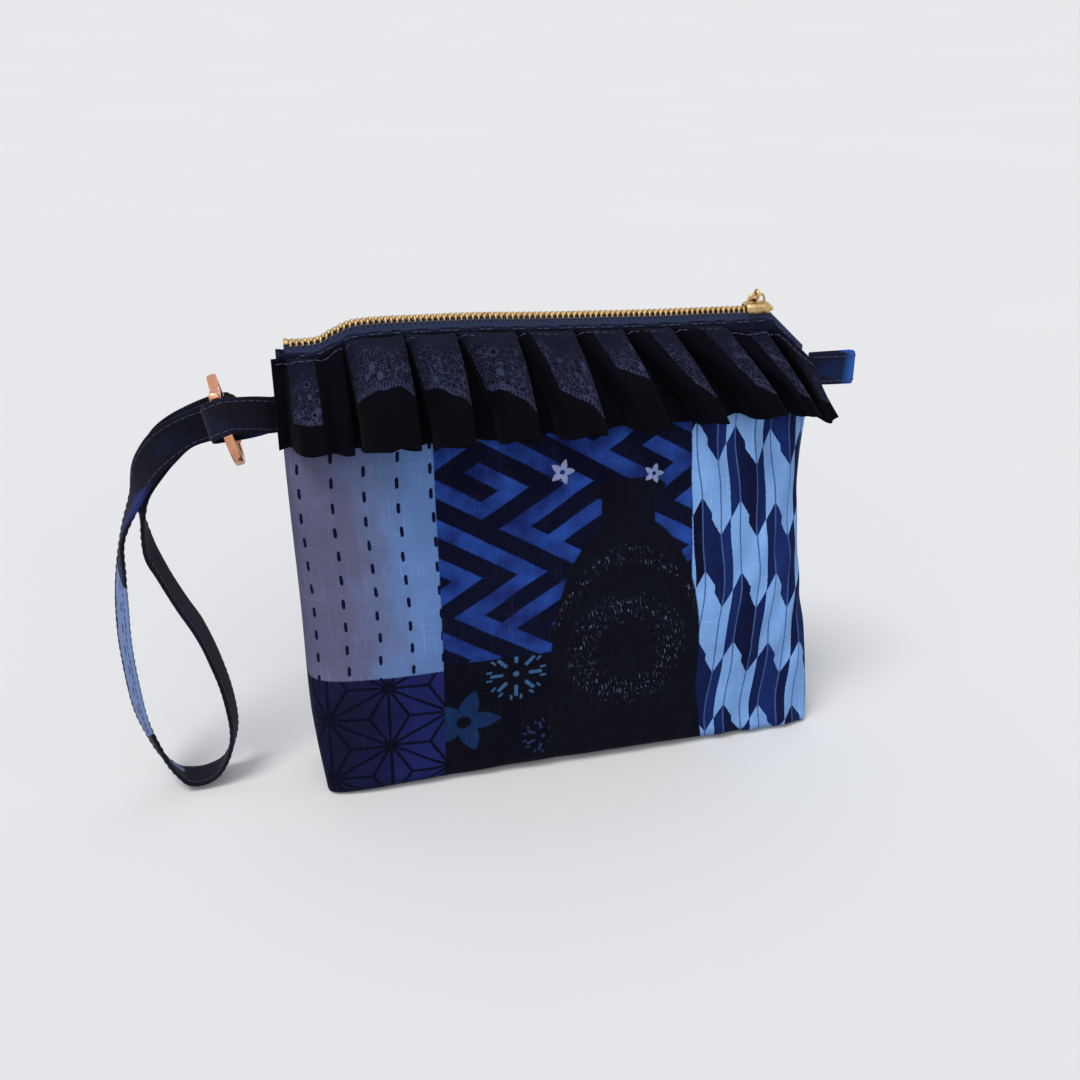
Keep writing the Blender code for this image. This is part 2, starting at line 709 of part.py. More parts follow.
def build_ring(metal, parts, cutters):
    """Ring frame with two ears and a hinge lug."""
    ears = []
    for centre in (math.pi / 2 - EAR_ANGLE, math.pi / 2 + EAR_ANGLE):
        ears += [centre - EAR_HALF, centre - EAR_HALF / 2, centre, centre + EAR_HALF / 2, centre + EAR_HALF]
    angles = [math.radians(a) for a in (-44, -33, -22, -11, 0, 11, 22, 31)]
    angles += ears[:5] + [math.pi / 2] + ears[5:]
    angles += [math.radians(a) for a in (149, 158, 169, 180, 191, 202, 211, 219)]
    rings = [ring_section(a, RING_RADIUS + ear_rise(a), RING_RADIAL, RING_AXIAL) for a in angles]
    closing = ring_section(math.radians(227.0), RING_RADIUS, RING_RADIAL, RING_AXIAL)
    rings.append(parted(closing, GATE_PART - GAP / 2))
    bm = bmesh.new()
    sweep(bm, rings)
    item = place(bm, "ring_frame", metal, parts)
    pivot = Vector((0.0, math.cos(GATE_HINGE), math.sin(GATE_HINGE))) * RING_RADIUS
    half = Vector((RING_AXIAL / 2, 0.0, 0.0))
    lug = bmesh.new()
    tube(lug, pivot - half, pivot + half, KNUCKLE_RADIUS, 14)
    combine(item, lug, "UNION", "ring_lug", cutters)
    slot = bmesh.new()
    wide = Vector((TONGUE / 2 + GAP / 2, 0.0, 0.0))
    tube(slot, pivot - wide, pivot + wide, KNUCKLE_RADIUS + GAP, 18)
    combine(item, slot, "DIFFERENCE", "ring_slot", cutters)
    hole = bmesh.new()
    tube(hole, pivot - 2 * half, pivot + 2 * half, PIN_RADIUS + 0.00002, 12)
    combine(item, hole, "DIFFERENCE", "ring_hole", cutters)
    return item, pivot


def build_gate(metal, parts, cutters, pivot):
    """Gate that closes the ring's lower side, hinged at the back."""
    bm = bmesh.new()
    angles = [math.radians(a) for a in (237, 246, 256, 266, 276, 288, 299, 308)]
    opening = ring_section(math.radians(229.0), RING_RADIUS, RING_RADIAL - 2 * GAP, GATE_AXIAL)
    rings = [parted(opening, GATE_PART + GAP / 2)]
    rings += [ring_section(a, RING_RADIUS, RING_RADIAL - 2 * GAP, GATE_AXIAL) for a in angles]
    rings.append(ring_section(math.radians(311.0), RING_RADIUS, 0.0016, TONGUE))
    rings.append(ring_section(math.radians(316.0), RING_RADIUS, 0.0016, TONGUE))
    sweep(bm, rings)
    item = place(bm, "ring_gate", metal, parts)
    half = Vector((TONGUE / 2, 0.0, 0.0))
    eye = bmesh.new()
    tube(eye, pivot - half, pivot + half, KNUCKLE_RADIUS, 14)
    combine(item, eye, "UNION", "gate_eye", cutters)
    hole = bmesh.new()
    tube(hole, pivot - 3 * half, pivot + 3 * half, PIN_RADIUS + PIN_CLEARANCE, 12)
    combine(item, hole, "DIFFERENCE", "gate_hole", cutters)
    pin = bmesh.new()
    end = Vector((RING_AXIAL / 2, 0.0, 0.0))
    tube(pin, pivot - end, pivot + end, PIN_RADIUS, 12)
    return item, place(pin, "gate_pin", metal, parts)


def cloth_bar(bm, path, thickness, axis, width, closed):
    """Cloth strip bent along a path: path points, width direction and width are per point."""
    rings = []
    count = len(path)
    for k, point in enumerate(path):
        before = path[k - 1] if (k or closed) else path[0]
        after = path[(k + 1) % count] if (k < count - 1 or closed) else path[-1]
        along = (after - before).normalized()
        wide = (axis[k] - along * axis[k].dot(along)).normalized()
        face = along.cross(wide)
        half = wide * (width / 2)
        edge = wide * (width / 2 - thickness * 0.3)
        out = face * (thickness / 2)
        rings.append([point - edge - out, point + edge - out, point + half, point + edge + out,
                      point - edge + out, point - half])
    sweep(bm, rings, closed)


def tab_path(root, centre, axis, radius, first, last, steps):
    """Doubled strip from a root round a bar and back: U-shaped, across the axis of the bar."""
    toward = centre - root
    toward = (toward - axis * toward.dot(axis)).normalized()
    side = axis.cross(toward)
    lead = Vector((math.copysign(1.0, toward.x), 0.0, 0.0))
    square = Vector((0.0, lead.x, 0.0))
    points = [root + square * first, root + lead * 0.002 + square * first]
    points.append(root + (centre - root) * 0.50 + side * last)
    for k in range(steps + 1):
        angle = math.pi / 2 - math.pi * k / steps
        points.append(centre + toward * (radius * math.cos(angle)) + side * (radius * math.sin(angle)))
    points.append(root + (centre - root) * 0.50 - side * last)
    points += [root + lead * 0.002 - square * first, root - square * first]
    return points


def spline(points, count, closed):
    """Evenly spaced points on a smooth curve through the given ones, of any dimension."""
    given = np.array(points, dtype=float)
    number = len(given)
    spans = number if closed else number - 1
    dense = []
    for k in range(spans):
        if closed:
            a, b, c, d = (given[(k + o) % number] for o in (-1, 0, 1, 2))
        else:
            a, b, c, d = (given[min(max(k + o, 0), number - 1)] for o in (-1, 0, 1, 2))
        for t in np.linspace(0.0, 1.0, 12, endpoint=False):
            dense.append(0.5 * (2 * b + (c - a) * t + (2 * a - 5 * b + 4 * c - d) * t ** 2
                                + (3 * b - a - 3 * c + d) * t ** 3))
    dense.append(given[0] if closed else given[-1])
    dense = np.array(dense)
    steps = np.linalg.norm(np.diff(dense[:, :3], axis=0), axis=1)
    run = np.concatenate([[0.0], np.cumsum(steps)])
    wanted = np.linspace(0.0, run[-1], count, endpoint=not closed)
    return np.stack([np.interp(wanted, run, dense[:, k]) for k in range(dense.shape[1])], axis=1)


def build_strap(finish, parts):
    """Wrist strap: a strip round the ring's back bar, pressed double, twisting into a loop."""
    matrix = ring_matrix()
    bar = matrix @ Vector((0.0, RING_RADIUS, 0.0))
    lean = (matrix.to_3x3() @ Vector((0.0, 0.0, 1.0))).normalized()
    deep = Vector((0.0, 1.0, 0.0))
    home = Vector(RING_CENTRE)
    stem = [home + Vector(p) for p in STRAP_STEM]
    widths = [lean, (lean * 0.8 + deep * 0.6).normalized(), (lean * 0.35 + deep * 0.94).normalized()]
    front = []
    back = []
    before = bar
    for k, point in enumerate(stem):
        after = stem[k + 1] if k + 1 < len(stem) else home + Vector(STRAP_DOWN[0])
        along = (after - before).normalized()
        wide = (widths[k] - along * widths[k].dot(along)).normalized()
        face = along.cross(wide)
        apart = STRAP_PRESSED + (0.0006 if k == 0 else 0.0)
        front.append((*(point - face * apart), *wide))
        back.append((*(point + face * apart), *wide))
        before = point
    out = Vector((-1.0, 0.0, 0.0))
    fold = bar - deep * FOLD_SHIFT
    radius = FOLD_RADIUS + STRAP_THICKNESS / 2
    bends = []
    for degrees in (-120, -80, -40, 0, 40, 80, 120):
        angle = math.radians(degrees)
        spot = fold - out * (radius * math.cos(angle)) + deep * (radius * math.sin(angle))
        bends.append((*spot, *lean))
    down = [(*(home + Vector(p)), 0.0, 1.0, 0.0) for p in STRAP_DOWN]
    up = [(*(home + Vector(p)), 0.20, 0.98, 0.0) for p in STRAP_UP]
    control = bends[3::-1] + front + down + up + back[::-1] + bends[:3:-1]
    line = spline(control, STRAP_STEPS, True)
    path = [Vector(p[:3]) for p in line]
    axis = [Vector(p[3:]) for p in line]
    bm = bmesh.new()
    cloth_bar(bm, path, STRAP_THICKNESS, axis, STRAP_WIDTH, True)
    return place(bm, "wrist_strap", finish, parts)


def build_tabs(finish, parts):
    """Left tab folded round the ring's front bar and the short folded tab on the right."""
    matrix = ring_matrix()
    turn = Matrix.Rotation(-TAB_TURN, 3, "X")
    bar = matrix @ (turn @ Vector((0.0, -RING_RADIUS, 0.0)))
    lean = (matrix.to_3x3() @ turn @ Vector((0.0, 0.0, 1.0))).normalized()
    centre = bar + Vector((0.0, TAB_FOLD_SHIFT, 0.0))
    root = Vector((-table(LEFT_WIDTH, TAB_MIDDLE) - GAP, 0.0, TAB_MIDDLE))
    flat = TAB_CLOTH / 2 + GAP / 2
    path = tab_path(root, centre, lean, TAB_FOLD_RADIUS + TAB_CLOTH / 2, flat, 0.0030, 8)
    up = Vector((0.0, 0.0, 1.0))
    axes = [up, up, (up + lean) / 2] + [lean] * (len(path) - 6) + [(up + lean) / 2, up, up]
    bm = bmesh.new()
    cloth_bar(bm, path, TAB_CLOTH, axes, TAB_HEIGHT, False)
    left = place(bm, "ring_tab", finish, parts)
    root = Vector((table(RIGHT_WIDTH, TAB_MIDDLE) + GAP, 0.0, TAB_MIDDLE))
    centre = Vector((root.x + RIGHT_TAB_LENGTH - 0.0022, 0.0015, TAB_MIDDLE - 0.001))
    path = tab_path(root, centre, up, 0.0016, flat, 0.0012, 6)
    bm = bmesh.new()
    cloth_bar(bm, path, TAB_CLOTH, [up] * len(path), TAB_HEIGHT, False)
    right = place(bm, "side_tab", finish, parts)
    return left, right


def hang(item, point):
    """Puts a moving piece's origin on its joint axis."""
    item.data.transform(Matrix.Translation(-point))
    item.location = point


def centre_on_base(parts, cutters):
    """Moves everything so that the middle of the whole part's base is the origin."""
    spots = [v.co + item.location for item in parts.objects for v in item.data.vertices]
    low = [min(p[k] for p in spots) for k in range(3)]
    high = [max(p[k] for p in spots) for k in range(3)]
    shift = Vector((-(low[0] + high[0]) / 2, -(low[1] + high[1]) / 2, -low[2]))
    for item in list(parts.objects) + list(cutters.objects):
        item.location += shift


def main():
    """Builds every piece and sets the part on its origin."""
    clear_scene()
    scene = bpy.context.scene
    parts = bpy.data.collections.new(NAME)
    cutters = bpy.data.collections.new("cutters")
    scene.collection.children.link(parts)
    scene.collection.children.link(cutters)
    printed = material("printed_cotton", (0.055, 0.095, 0.290), 0.85)
    navy = material("navy_cotton", (0.012, 0.016, 0.045), 0.90)
    lace = material("eyelet_cotton", (0.010, 0.013, 0.036), 0.92)
    lining = material("lining_cotton", (0.030, 0.045, 0.110), 0.88)
    tape = material("zip_tape", (0.030, 0.042, 0.090), 0.80)
    brass = material("brass", (0.640, 0.430, 0.170), 0.32, 1.0)
    rose = material("rose_gold", (0.720, 0.400, 0.290), 0.25, 1.0)
    build_panel("front_panel", printed, parts, False, 14, 4, panel_heights())
    build_panel("back_panel", printed, parts, True, 10, 4, panel_heights())
    build_band("front_band", navy, parts, False, 12, 4)
    build_band("back_band", navy, parts, True, 12, 4)
    build_lining(lining, parts)
    build_tape("zip_tape_front", tape, brass, parts, -1.0, 0.0)
    build_tape("zip_tape_back", tape, brass, parts, 1.0, TOOTH_PITCH / 2)
    build_stops(brass, parts)
    slider = build_slider(brass, parts, cutters)
    pull = build_pull(brass, parts, cutters)
    build_ruffle(lace, parts)
    frame, pivot = build_ring(rose, parts, cutters)
    gate, pin = build_gate(rose, parts, cutters, pivot)
    for item in list(cutters.objects) + [frame, gate, pin]:
        if item.name.startswith(("ring", "gate")):
            item.data.transform(ring_matrix())
    strap = build_strap(navy, parts)
    build_tabs(navy, parts)
    turn = Matrix.Rotation(-TAB_TURN, 3, "X")
    front_bar = ring_matrix() @ (turn @ Vector((0.0, -RING_RADIUS, 0.0)))
    back_bar = ring_matrix() @ Vector((0.0, RING_RADIUS, 0.0))
    hang(slider, Vector((SLIDER_X, 0.0, CHAIN_BASE)))
    hang(pull, pull_axis())
    hang(frame, front_bar)
    hang(pin, front_bar)
    hang(gate, ring_matrix() @ pivot)
    hang(strap, back_bar)
    centre_on_base(parts, cutters)


main()
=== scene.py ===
"""Dressed scene of the wristlet: pouch, ruffle, zip, ring and strap, in the frame of its solids."""

from __future__ import annotations

import logging
import math
from dataclasses import dataclass
from enum import Enum
from typing import Callable, Optional, Sequence, Union

import bmesh
import bpy
import numpy as np
from mathutils import Matrix, Vector

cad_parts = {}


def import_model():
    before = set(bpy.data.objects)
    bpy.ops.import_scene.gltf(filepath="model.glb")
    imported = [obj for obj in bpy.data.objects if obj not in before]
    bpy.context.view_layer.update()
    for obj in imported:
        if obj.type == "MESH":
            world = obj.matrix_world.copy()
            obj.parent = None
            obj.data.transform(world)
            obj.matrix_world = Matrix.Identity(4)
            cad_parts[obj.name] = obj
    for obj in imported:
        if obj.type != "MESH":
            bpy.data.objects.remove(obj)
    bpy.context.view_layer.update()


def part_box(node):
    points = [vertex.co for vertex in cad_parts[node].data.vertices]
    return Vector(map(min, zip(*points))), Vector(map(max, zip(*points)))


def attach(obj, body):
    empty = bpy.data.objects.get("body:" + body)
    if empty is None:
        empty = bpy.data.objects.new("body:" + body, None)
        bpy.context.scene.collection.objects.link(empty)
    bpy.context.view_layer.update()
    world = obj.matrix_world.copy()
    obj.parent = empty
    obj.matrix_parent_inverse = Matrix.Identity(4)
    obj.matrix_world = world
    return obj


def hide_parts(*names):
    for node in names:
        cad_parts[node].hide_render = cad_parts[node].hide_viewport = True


log = logging.getLogger("wristlet")

Array = np.ndarray
Rows = tuple[tuple[float, float], ...]
CURVE_STEPS = 24


def hermite(t: Array, start: Array, end: Array, leave: Array, arrive: Array) -> Array:
    """Cubic from start to end for t from 0 to 1, with the given slopes where it leaves and arrives."""
    return ((2 * t**3 - 3 * t**2 + 1) * start + (t**3 - 2 * t**2 + t) * leave
            + (3 * t**2 - 2 * t**3) * end + (t**3 - t**2) * arrive)


def ease(rows: Rows, at: Array) -> Array:
    """Smooth value of a table, by a cubic through each pair of rows with the slopes of their neighbours.

    Args:
        rows: (place, value) rows in rising order of place.
        at: places to look up.

    Returns:
        The values, held flat beyond both ends.
    """
    places, values = np.array(rows).T
    at = np.clip(np.asarray(at, dtype=float), places[0], places[-1])
    index = np.clip(np.searchsorted(places, at, side="right") - 1, 0, len(rows) - 2)
    low = np.clip(np.arange(len(rows)) - 1, 0, None)
    high = np.clip(np.arange(len(rows)) + 1, None, len(rows) - 1)
    slopes = (values[high] - values[low]) / (places[high] - places[low])
    span = places[index + 1] - places[index]
    t = (at - places[index]) / span
    return hermite(t, values[index], values[index + 1], span * slopes[index], span * slopes[index + 1])


def smooth(low: float, high: float, at: Array) -> Array:
    """Step from 0 at low to 1 at high, by the cubic 3t^2 - 2t^3."""
    t = np.clip((np.asarray(at, dtype=float) - low) / (high - low), 0.0, 1.0)
    return t * t * (3.0 - 2.0 * t)


def run_along(path: Array) -> Array:
    """Distance walked along a path up to each of its points."""
    return np.concatenate([[0.0], np.cumsum(np.linalg.norm(np.diff(path, axis=0), axis=1))])


def stretches(points: Array, closed: bool) -> list[Array]:
    """The points that shape each stretch of a path.

    Args:
        points: rows of the path.
        closed: whether the last point joins the first.

    Returns:
        The point before, the start, the end and the point after, each as stretches by 1 by columns.
    """
    number = len(points)
    spans = np.arange(number if closed else number - 1)
    return [points[(spans + o) % number if closed else np.clip(spans + o, 0, number - 1)][:, None, :]
            for o in (-1, 0, 1, 2)]


def curve_through(points: Array, count: int, closed: bool) -> Array:
    """Evenly spaced points on a smooth curve through the given ones.

    Each stretch is the Catmull-Rom cubic of its four nearest points, which is then walked at even steps.

    Args:
        points: rows whose first three columns are a place; further columns are carried along.
        count: how many points to give.
        closed: whether the last point joins the first.

    Returns:
        The points, count rows.
    """
    t = np.linspace(0.0, 1.0, CURVE_STEPS, endpoint=False)[None, :, None]
    a, b, c, d = stretches(points, closed)
    dense = 0.5 * (2 * b + (c - a) * t + (2 * a - 5 * b + 4 * c - d) * t**2 + (3 * b - a - 3 * c + d) * t**3)
    dense = np.vstack([dense.reshape(-1, points.shape[1]), points[0] if closed else points[-1]])
    run = run_along(dense[:, :3])
    wanted = np.linspace(0.0, run[-1], count, endpoint=not closed)
    return np.stack([np.interp(wanted, run, column) for column in dense.T], axis=1)


def unit(rows: Array) -> Array:
    """Each vector of an array at length one."""
    return rows / np.maximum(np.linalg.norm(rows, axis=-1, keepdims=True), 1e-12)


def ways(path: Array, closed: bool) -> Array:
    """Direction of a path at each of its points, from its neighbours."""
    return unit(np.roll(path, -1, axis=0) - np.roll(path, 1, axis=0) if closed else np.gradient(path, axis=0))


def square_to(way: Array, along: Array) -> Array:
    """Each direction turned as little as needed to be square to another."""
    return unit(way - along * np.sum(way * along, axis=-1, keepdims=True))


def full_turn(count: int) -> Array:
    """Angles spaced evenly round a full turn, from 0."""
    return np.linspace(0.0, 2.0 * math.pi, count, endpoint=False)


def rounded(turn: Array, across: float, up: float) -> tuple[Array, Array]:
    """Rounded square of half width 1: cosine and sine raised to powers under 1, with their signs kept.

    Args:
        turn: angles round the outline.
        across: power of the cosine.
        up: power of the sine.

    Returns:
        Both coordinates of the points.
    """
    c, s = np.cos(turn), np.sin(turn)
    return np.sign(c) * np.abs(c) ** across, np.sign(s) * np.abs(s) ** up


class Skin:
    """A mesh under construction: grids of points, stitched into quads, with a cloth map in metres."""

    def __init__(self) -> None:
        """Starts with no points and no faces."""
        self.points: list[Array] = []
        self.faces: list[Array] = []
        self.maps: list[Array] = []
        self.slots: list[Array] = []
        self.total = 0

    def grid(self, places: Array, cloth: Optional[Array] = None, around: bool = False, along: bool = False,
             flip: bool = False, slot: Union[int, Array] = 0) -> None:
        """Adds a grid of quads.

        Args:
            places: array of rows by columns by 3.
            cloth: map of the same rows and columns by 2, in metres.
            around: whether the last column joins the first.
            along: whether the last row joins the first.
            flip: turns the faces over.
            slot: index of the material, one for all quads or one for each column of quads.
        """
        rows, cols = places.shape[:2]
        ids = np.arange(rows * cols).reshape(rows, cols) + self.total
        if around:
            ids = np.hstack([ids, ids[:, :1]])
        if along:
            ids = np.vstack([ids, ids[:1]])
        quads = np.stack([ids[:-1, :-1], ids[:-1, 1:], ids[1:, 1:], ids[1:, :-1]], axis=-1).reshape(-1, 4)
        if flip:
            quads = quads[:, ::-1]
        if cloth is None:
            cloth = np.zeros((rows, cols, 2))
        self.points.append(places.reshape(-1, 3))
        self.maps.append(cloth.reshape(-1, 2))
        self.faces.append(quads)
        self.slots.append(np.broadcast_to(slot, (ids.shape[0] - 1, ids.shape[1] - 1)).ravel())
        self.total += rows * cols

    def fans(self, rims: Array, flip: bool = False, slot: int = 0) -> None:
        """Closes rings of points with triangles round a middle point.

        Args:
            rims: array of rings by points by 3.
            flip: turns the faces over.
            slot: index of the material.
        """
        rings, count = rims.shape[:2]
        ids = np.arange(rings * (count + 1)).reshape(rings, count + 1) + self.total
        middle = rims.mean(axis=1, keepdims=True)
        a = ids[:, :count]
        b = np.roll(a, -1, axis=1)
        c = np.broadcast_to(ids[:, count:], a.shape)
        tris = np.stack([a, b, c, c], axis=-1).reshape(-1, 4)
        if flip:
            tris = np.stack([b, a, c, c], axis=-1).reshape(-1, 4)
        self.points.append(np.concatenate([rims, middle], axis=1).reshape(-1, 3))
        self.maps.append(np.zeros((rings * (count + 1), 2)))
        self.faces.append(tris)
        self.slots.append(np.full(len(tris), slot))
        self.total += rings * (count + 1)

    def bar(self, rings: Array, cloth: Optional[Array] = None) -> None:
        """Adds a bar made of rings of points, closed at both ends."""
        self.grid(rings, cloth, around=True)
        self.fans(np.stack([rings[0][::-1], rings[-1]]))

    def solid(self, name: str, finishes: Sequence[bpy.types.Material], merge: float = 0.0,
              soft: bool = True) -> bpy.types.Object:
        """Makes the object from everything added.

        Args:
            name: object name.
            finishes: materials by slot.
            merge: distance under which points are joined, or 0.
            soft: whether the faces shade smoothly.

        Returns:
            The object, at the origin.
        """
        points = np.concatenate(self.points)
        faces = np.concatenate(self.faces)
        maps = np.concatenate(self.maps)
        slots = np.concatenate(self.slots)
        three = faces[:, 2] == faces[:, 3]
        sizes = np.where(three, 3, 4)
        keep = np.ones(faces.shape, dtype=bool)
        keep[three, 3] = False
        corners = faces[keep]
        mesh = bpy.data.meshes.new(name)
        mesh.vertices.add(len(points))
        mesh.vertices.foreach_set("co", points.astype(np.float32).ravel())
        mesh.loops.add(len(corners))
        mesh.loops.foreach_set("vertex_index", corners.astype(np.int32))
        mesh.polygons.add(len(faces))
        mesh.polygons.foreach_set("loop_start", np.concatenate([[0], np.cumsum(sizes)[:-1]]).astype(np.int32))
        mesh.polygons.foreach_set("material_index", slots.astype(np.int32))
        mesh.polygons.foreach_set("use_smooth", np.full(len(faces), soft))
        layer = mesh.uv_layers.new(name="cloth")
        layer.data.foreach_set("uv", maps[corners].astype(np.float32).ravel())
        mesh.update(calc_edges=True)
        mesh.validate()
        for finish in finishes:
            mesh.materials.append(finish)
        item = bpy.data.objects.new(name, mesh)
        bpy.context.scene.collection.objects.link(item)
        if merge > 0.0:
            bm = bmesh.new()
            bm.from_mesh(mesh)
            bmesh.ops.remove_doubles(bm, verts=bm.verts, dist=merge)
            bmesh.ops.recalc_face_normals(bm, faces=bm.faces)
            bm.to_mesh(mesh)
            bm.free()
        return item


def thicken(item: bpy.types.Object, cloth: float) -> None:
    """Gives a sheet its thickness, half to each side, by a Solidify modifier.

    Args:
        item: the sheet.
        cloth: thickness of the cloth.
    """
    step = item.modifiers.new("cloth", "SOLIDIFY")
    step.thickness = cloth
    step.offset = 0.0
    step.use_even_offset = False
    step.use_rim = True


def tube_along(path: Array, radius: Union[float, Array], sides: int, closed: bool = False) -> Array:
    """Round tube along a path: at each point a circle in the plane across the path.

    Args:
        path: points, n by 3.
        radius: one radius, or one per point.
        sides: points round the circle.
        closed: whether the path is a loop.

    Returns:
        Grid of n by sides by 3.
    """
    along = ways(path, closed)
    guess = np.array([0.0, 0.0, 1.0]) if abs(along[0, 2]) < 0.9 else np.array([0.0, 1.0, 0.0])
    side = np.empty_like(along)
    side[0] = square_to(guess, along[0])
    for k in range(1, len(path)):
        side[k] = square_to(side[k - 1], along[k])
    other = np.cross(along, side)
    turn = full_turn(sides)
    size = np.broadcast_to(np.asarray(radius, dtype=float), (len(path),))[:, None, None]
    ring = np.cos(turn)[None, :, None] * side[:, None, :] + np.sin(turn)[None, :, None] * other[:, None, :]
    return path[:, None, :] + size * ring


# Lengths in metres, measured from the middle of the pouch as its solids are drawn
CLOTH = 0.0012
SEAM_GAP = 0.0002
LINING_STANDOFF = 0.0009
LEFT_WIDTH: Rows = ((0.0, 0.1005), (0.030, 0.1035), (0.080, 0.1042), (0.140, 0.1053), (0.200, 0.1048))
RIGHT_WIDTH: Rows = ((0.0, 0.1060), (0.030, 0.1050), (0.070, 0.1000), (0.110, 0.0965), (0.150, 0.0985),
                     (0.200, 0.0975))
DEPTH: Rows = ((0.0, 0.0178), (0.012, 0.0188), (0.030, 0.0204), (0.060, 0.0218), (0.090, 0.0208),
               (0.120, 0.0176), (0.141, 0.0142), (0.156, 0.0105), (0.167, 0.0070), (0.1755, 0.0044),
               (0.200, 0.0044))
SQUARENESS: Rows = ((0.0, 9.0), (0.020, 6.0), (0.060, 3.4), (0.120, 2.8), (0.150, 3.4), (0.1755, 9.0),
                    (0.200, 9.0))
FOOT_RADIUS_MIDDLE = 0.0085
FOOT_RADIUS_END = 0.0030
PANEL_TOP = 0.1530
BAND_BOTTOM = PANEL_TOP + SEAM_GAP
BAND_TOP = 0.1782
LINING_TOP = 0.1685
END_SLOPE_START = 0.0790
END_SLOPE = 0.95
END_SLOPE_DROP = 0.0180
PUCKER = 0.0009
PUCKER_HEIGHT, PUCKER_REACH = 0.115, 0.045
PUCKER_RIGHT = 0.055
MIDDLE_SHARE = 0.80
CHAIN_BASE = 0.1806
TOOTH_HEIGHT = 0.0020
TOOTH_PITCH = 0.00208
TOOTH_COUNT = 86
TOOTH_HALF = 0.0020
TOOTH_HALF_LENGTH = 0.00046
CHAIN_START = -0.1003
CORD_HEIGHT = 0.0012
TAPE_THICKNESS = 0.0006
TAPE_BOTTOM = 0.1700
TAPE_SPREAD = 0.0022
TAPE_LEFT = -0.1022
TAPE_RIGHT = 0.0945
TAPE_END_TAPER = 0.60
SLIDER_X = 0.0743
SLIDER_LENGTH = 0.0095
ARCH_WIRE = 0.0005
PULL_REST = math.radians(-42.0)
PULL_AXIS_Z = 0.1867
PULL_WIDTH: Rows = ((0.0019, 0.00050), (0.0030, 0.0011), (0.0044, 0.0021), (0.0060, 0.0025),
                    (0.0120, 0.00245), (0.0200, 0.0025), (0.0225, 0.0024), (0.0235, 0.0018), (0.0240, 0.0008))
SEAM_LEFT, SEAM_RIGHT = -0.0985, 0.0975
SEAM_INSET = 0.0006
RUFFLE_TOP = BAND_TOP - 0.0008
RUFFLE_LENGTH = 0.0325
RUFFLE_CLOTH = 0.0007
PLEAT_ENDS = (-0.1030, -0.0831, -0.0619, -0.0435, -0.0221, -0.0007, 0.0180, 0.0362, 0.0570, 0.0755, 0.0965)
PLEAT_OVERLAP = 0.0120
PLEAT_FLAT = 0.0020
PLEAT_STANDOFF = 0.0012
PLEAT_LAYER = 0.0009
SLOW_PLEAT = 8
FOLD_STEPS = 7
PLEAT_FLARES = (0.0100, 0.0180, 0.01764, 0.0170, 0.0160, 0.0150, 0.0160, 0.0165, 0.0155, 0.0120)
PLEAT_RECESSES = (0.0, 0.10, 0.30, 0.42, 0.32, 0.48, 0.55, 0.48, 0.50, 0.35)
# Share of each pleat's face, beside its rise, painted near black as shade
PLEAT_PAINTED_SHADE = (0.0, 0.0, 0.0, 0.0, 0.10, 0.20, 0.35, 0.42, 0.50, 0.40)
LACE_ENDS = ((0.66, 0.68), (0.57, 0.60), (0.50, 0.70), (0.52, 0.76), (0.55, 0.85), (0.38, 0.55), (0.55, 0.75),
             (0.60, 0.80), (0.62, 0.80), (0.60, 0.75))
LACE_DROP = 0.0220
PULL_ROOM: Rows = ((0.0550, 0.0), (0.0680, 0.0024), (0.0965, 0.0024))
TOP_LIFT: Rows = ((-0.1040, 0.0), (-0.0910, 0.0), (-0.0860, 0.0022), (-0.0790, 0.0050), (-0.0700, 0.0056),
                  (-0.0540, 0.0053), (-0.0337, 0.0047), (-0.0128, 0.0034), (0.0034, 0.0026), (0.0300, 0.0013),
                  (0.0538, 0.0005), (0.0700, 0.0))
LIFT_LOW, LIFT_HIGH = 0.1480, 0.1740
RUFFLE_END: Rows = ((-0.1030, 1.0), (0.0790, 1.0), (0.0880, 0.90), (0.0965, 0.64))
RUFFLE_SWEEP: Rows = ((-0.105, 0.0), (-0.040, 0.08), (0.0, 0.25), (0.030, 0.50), (0.060, 0.62),
                      (0.080, 0.52), (0.098, 0.34))


def outline_width(z: Array, left: Array) -> Array:
    """Half width of the pouch at height z, of its left half where left is true, else of its right."""
    return np.where(left, ease(LEFT_WIDTH, z), ease(RIGHT_WIDTH, z))


def top_lift(x: Array, z: Array) -> Array:
    """How far the top edge arches up at x over the left half, fading out below the ruffle's middle."""
    return ease(TOP_LIFT, x) * smooth(LIFT_LOW, LIFT_HIGH, z)


def end_drop(x: Array, z: Array) -> Array:
    """How far the cloth at height z has come down at x, beyond the closed end of the zip."""
    weight = np.clip((z - PANEL_TOP) / (BAND_TOP - PANEL_TOP), 0.0, 1.0)
    return weight * np.clip(END_SLOPE * (x - END_SLOPE_START), 0.0, END_SLOPE_DROP)


def pucker(x: Array, z: Array) -> Array:
    """Gentle dimples of filled cloth, strongest below the gathered top.

    They are two crossed waves all over, and one larger slanting wave down the right.

    Args:
        x: places along the pouch.
        z: heights.

    Returns:
        How far the cloth swells there.
    """
    fade = np.exp(-(((z - PUCKER_HEIGHT) / PUCKER_REACH) ** 2))
    right = 1.0 / (1.0 + np.exp(-(x - PUCKER_RIGHT) / 0.012))
    small = np.sin(x * 210.0 + z * 38.0) * np.cos(x * 74.0 - z * 55.0)
    large = np.sin((x - 0.02) * 330.0 - z * 70.0)
    return PUCKER * (0.6 * fade * small + 1.3 * right * fade * large)


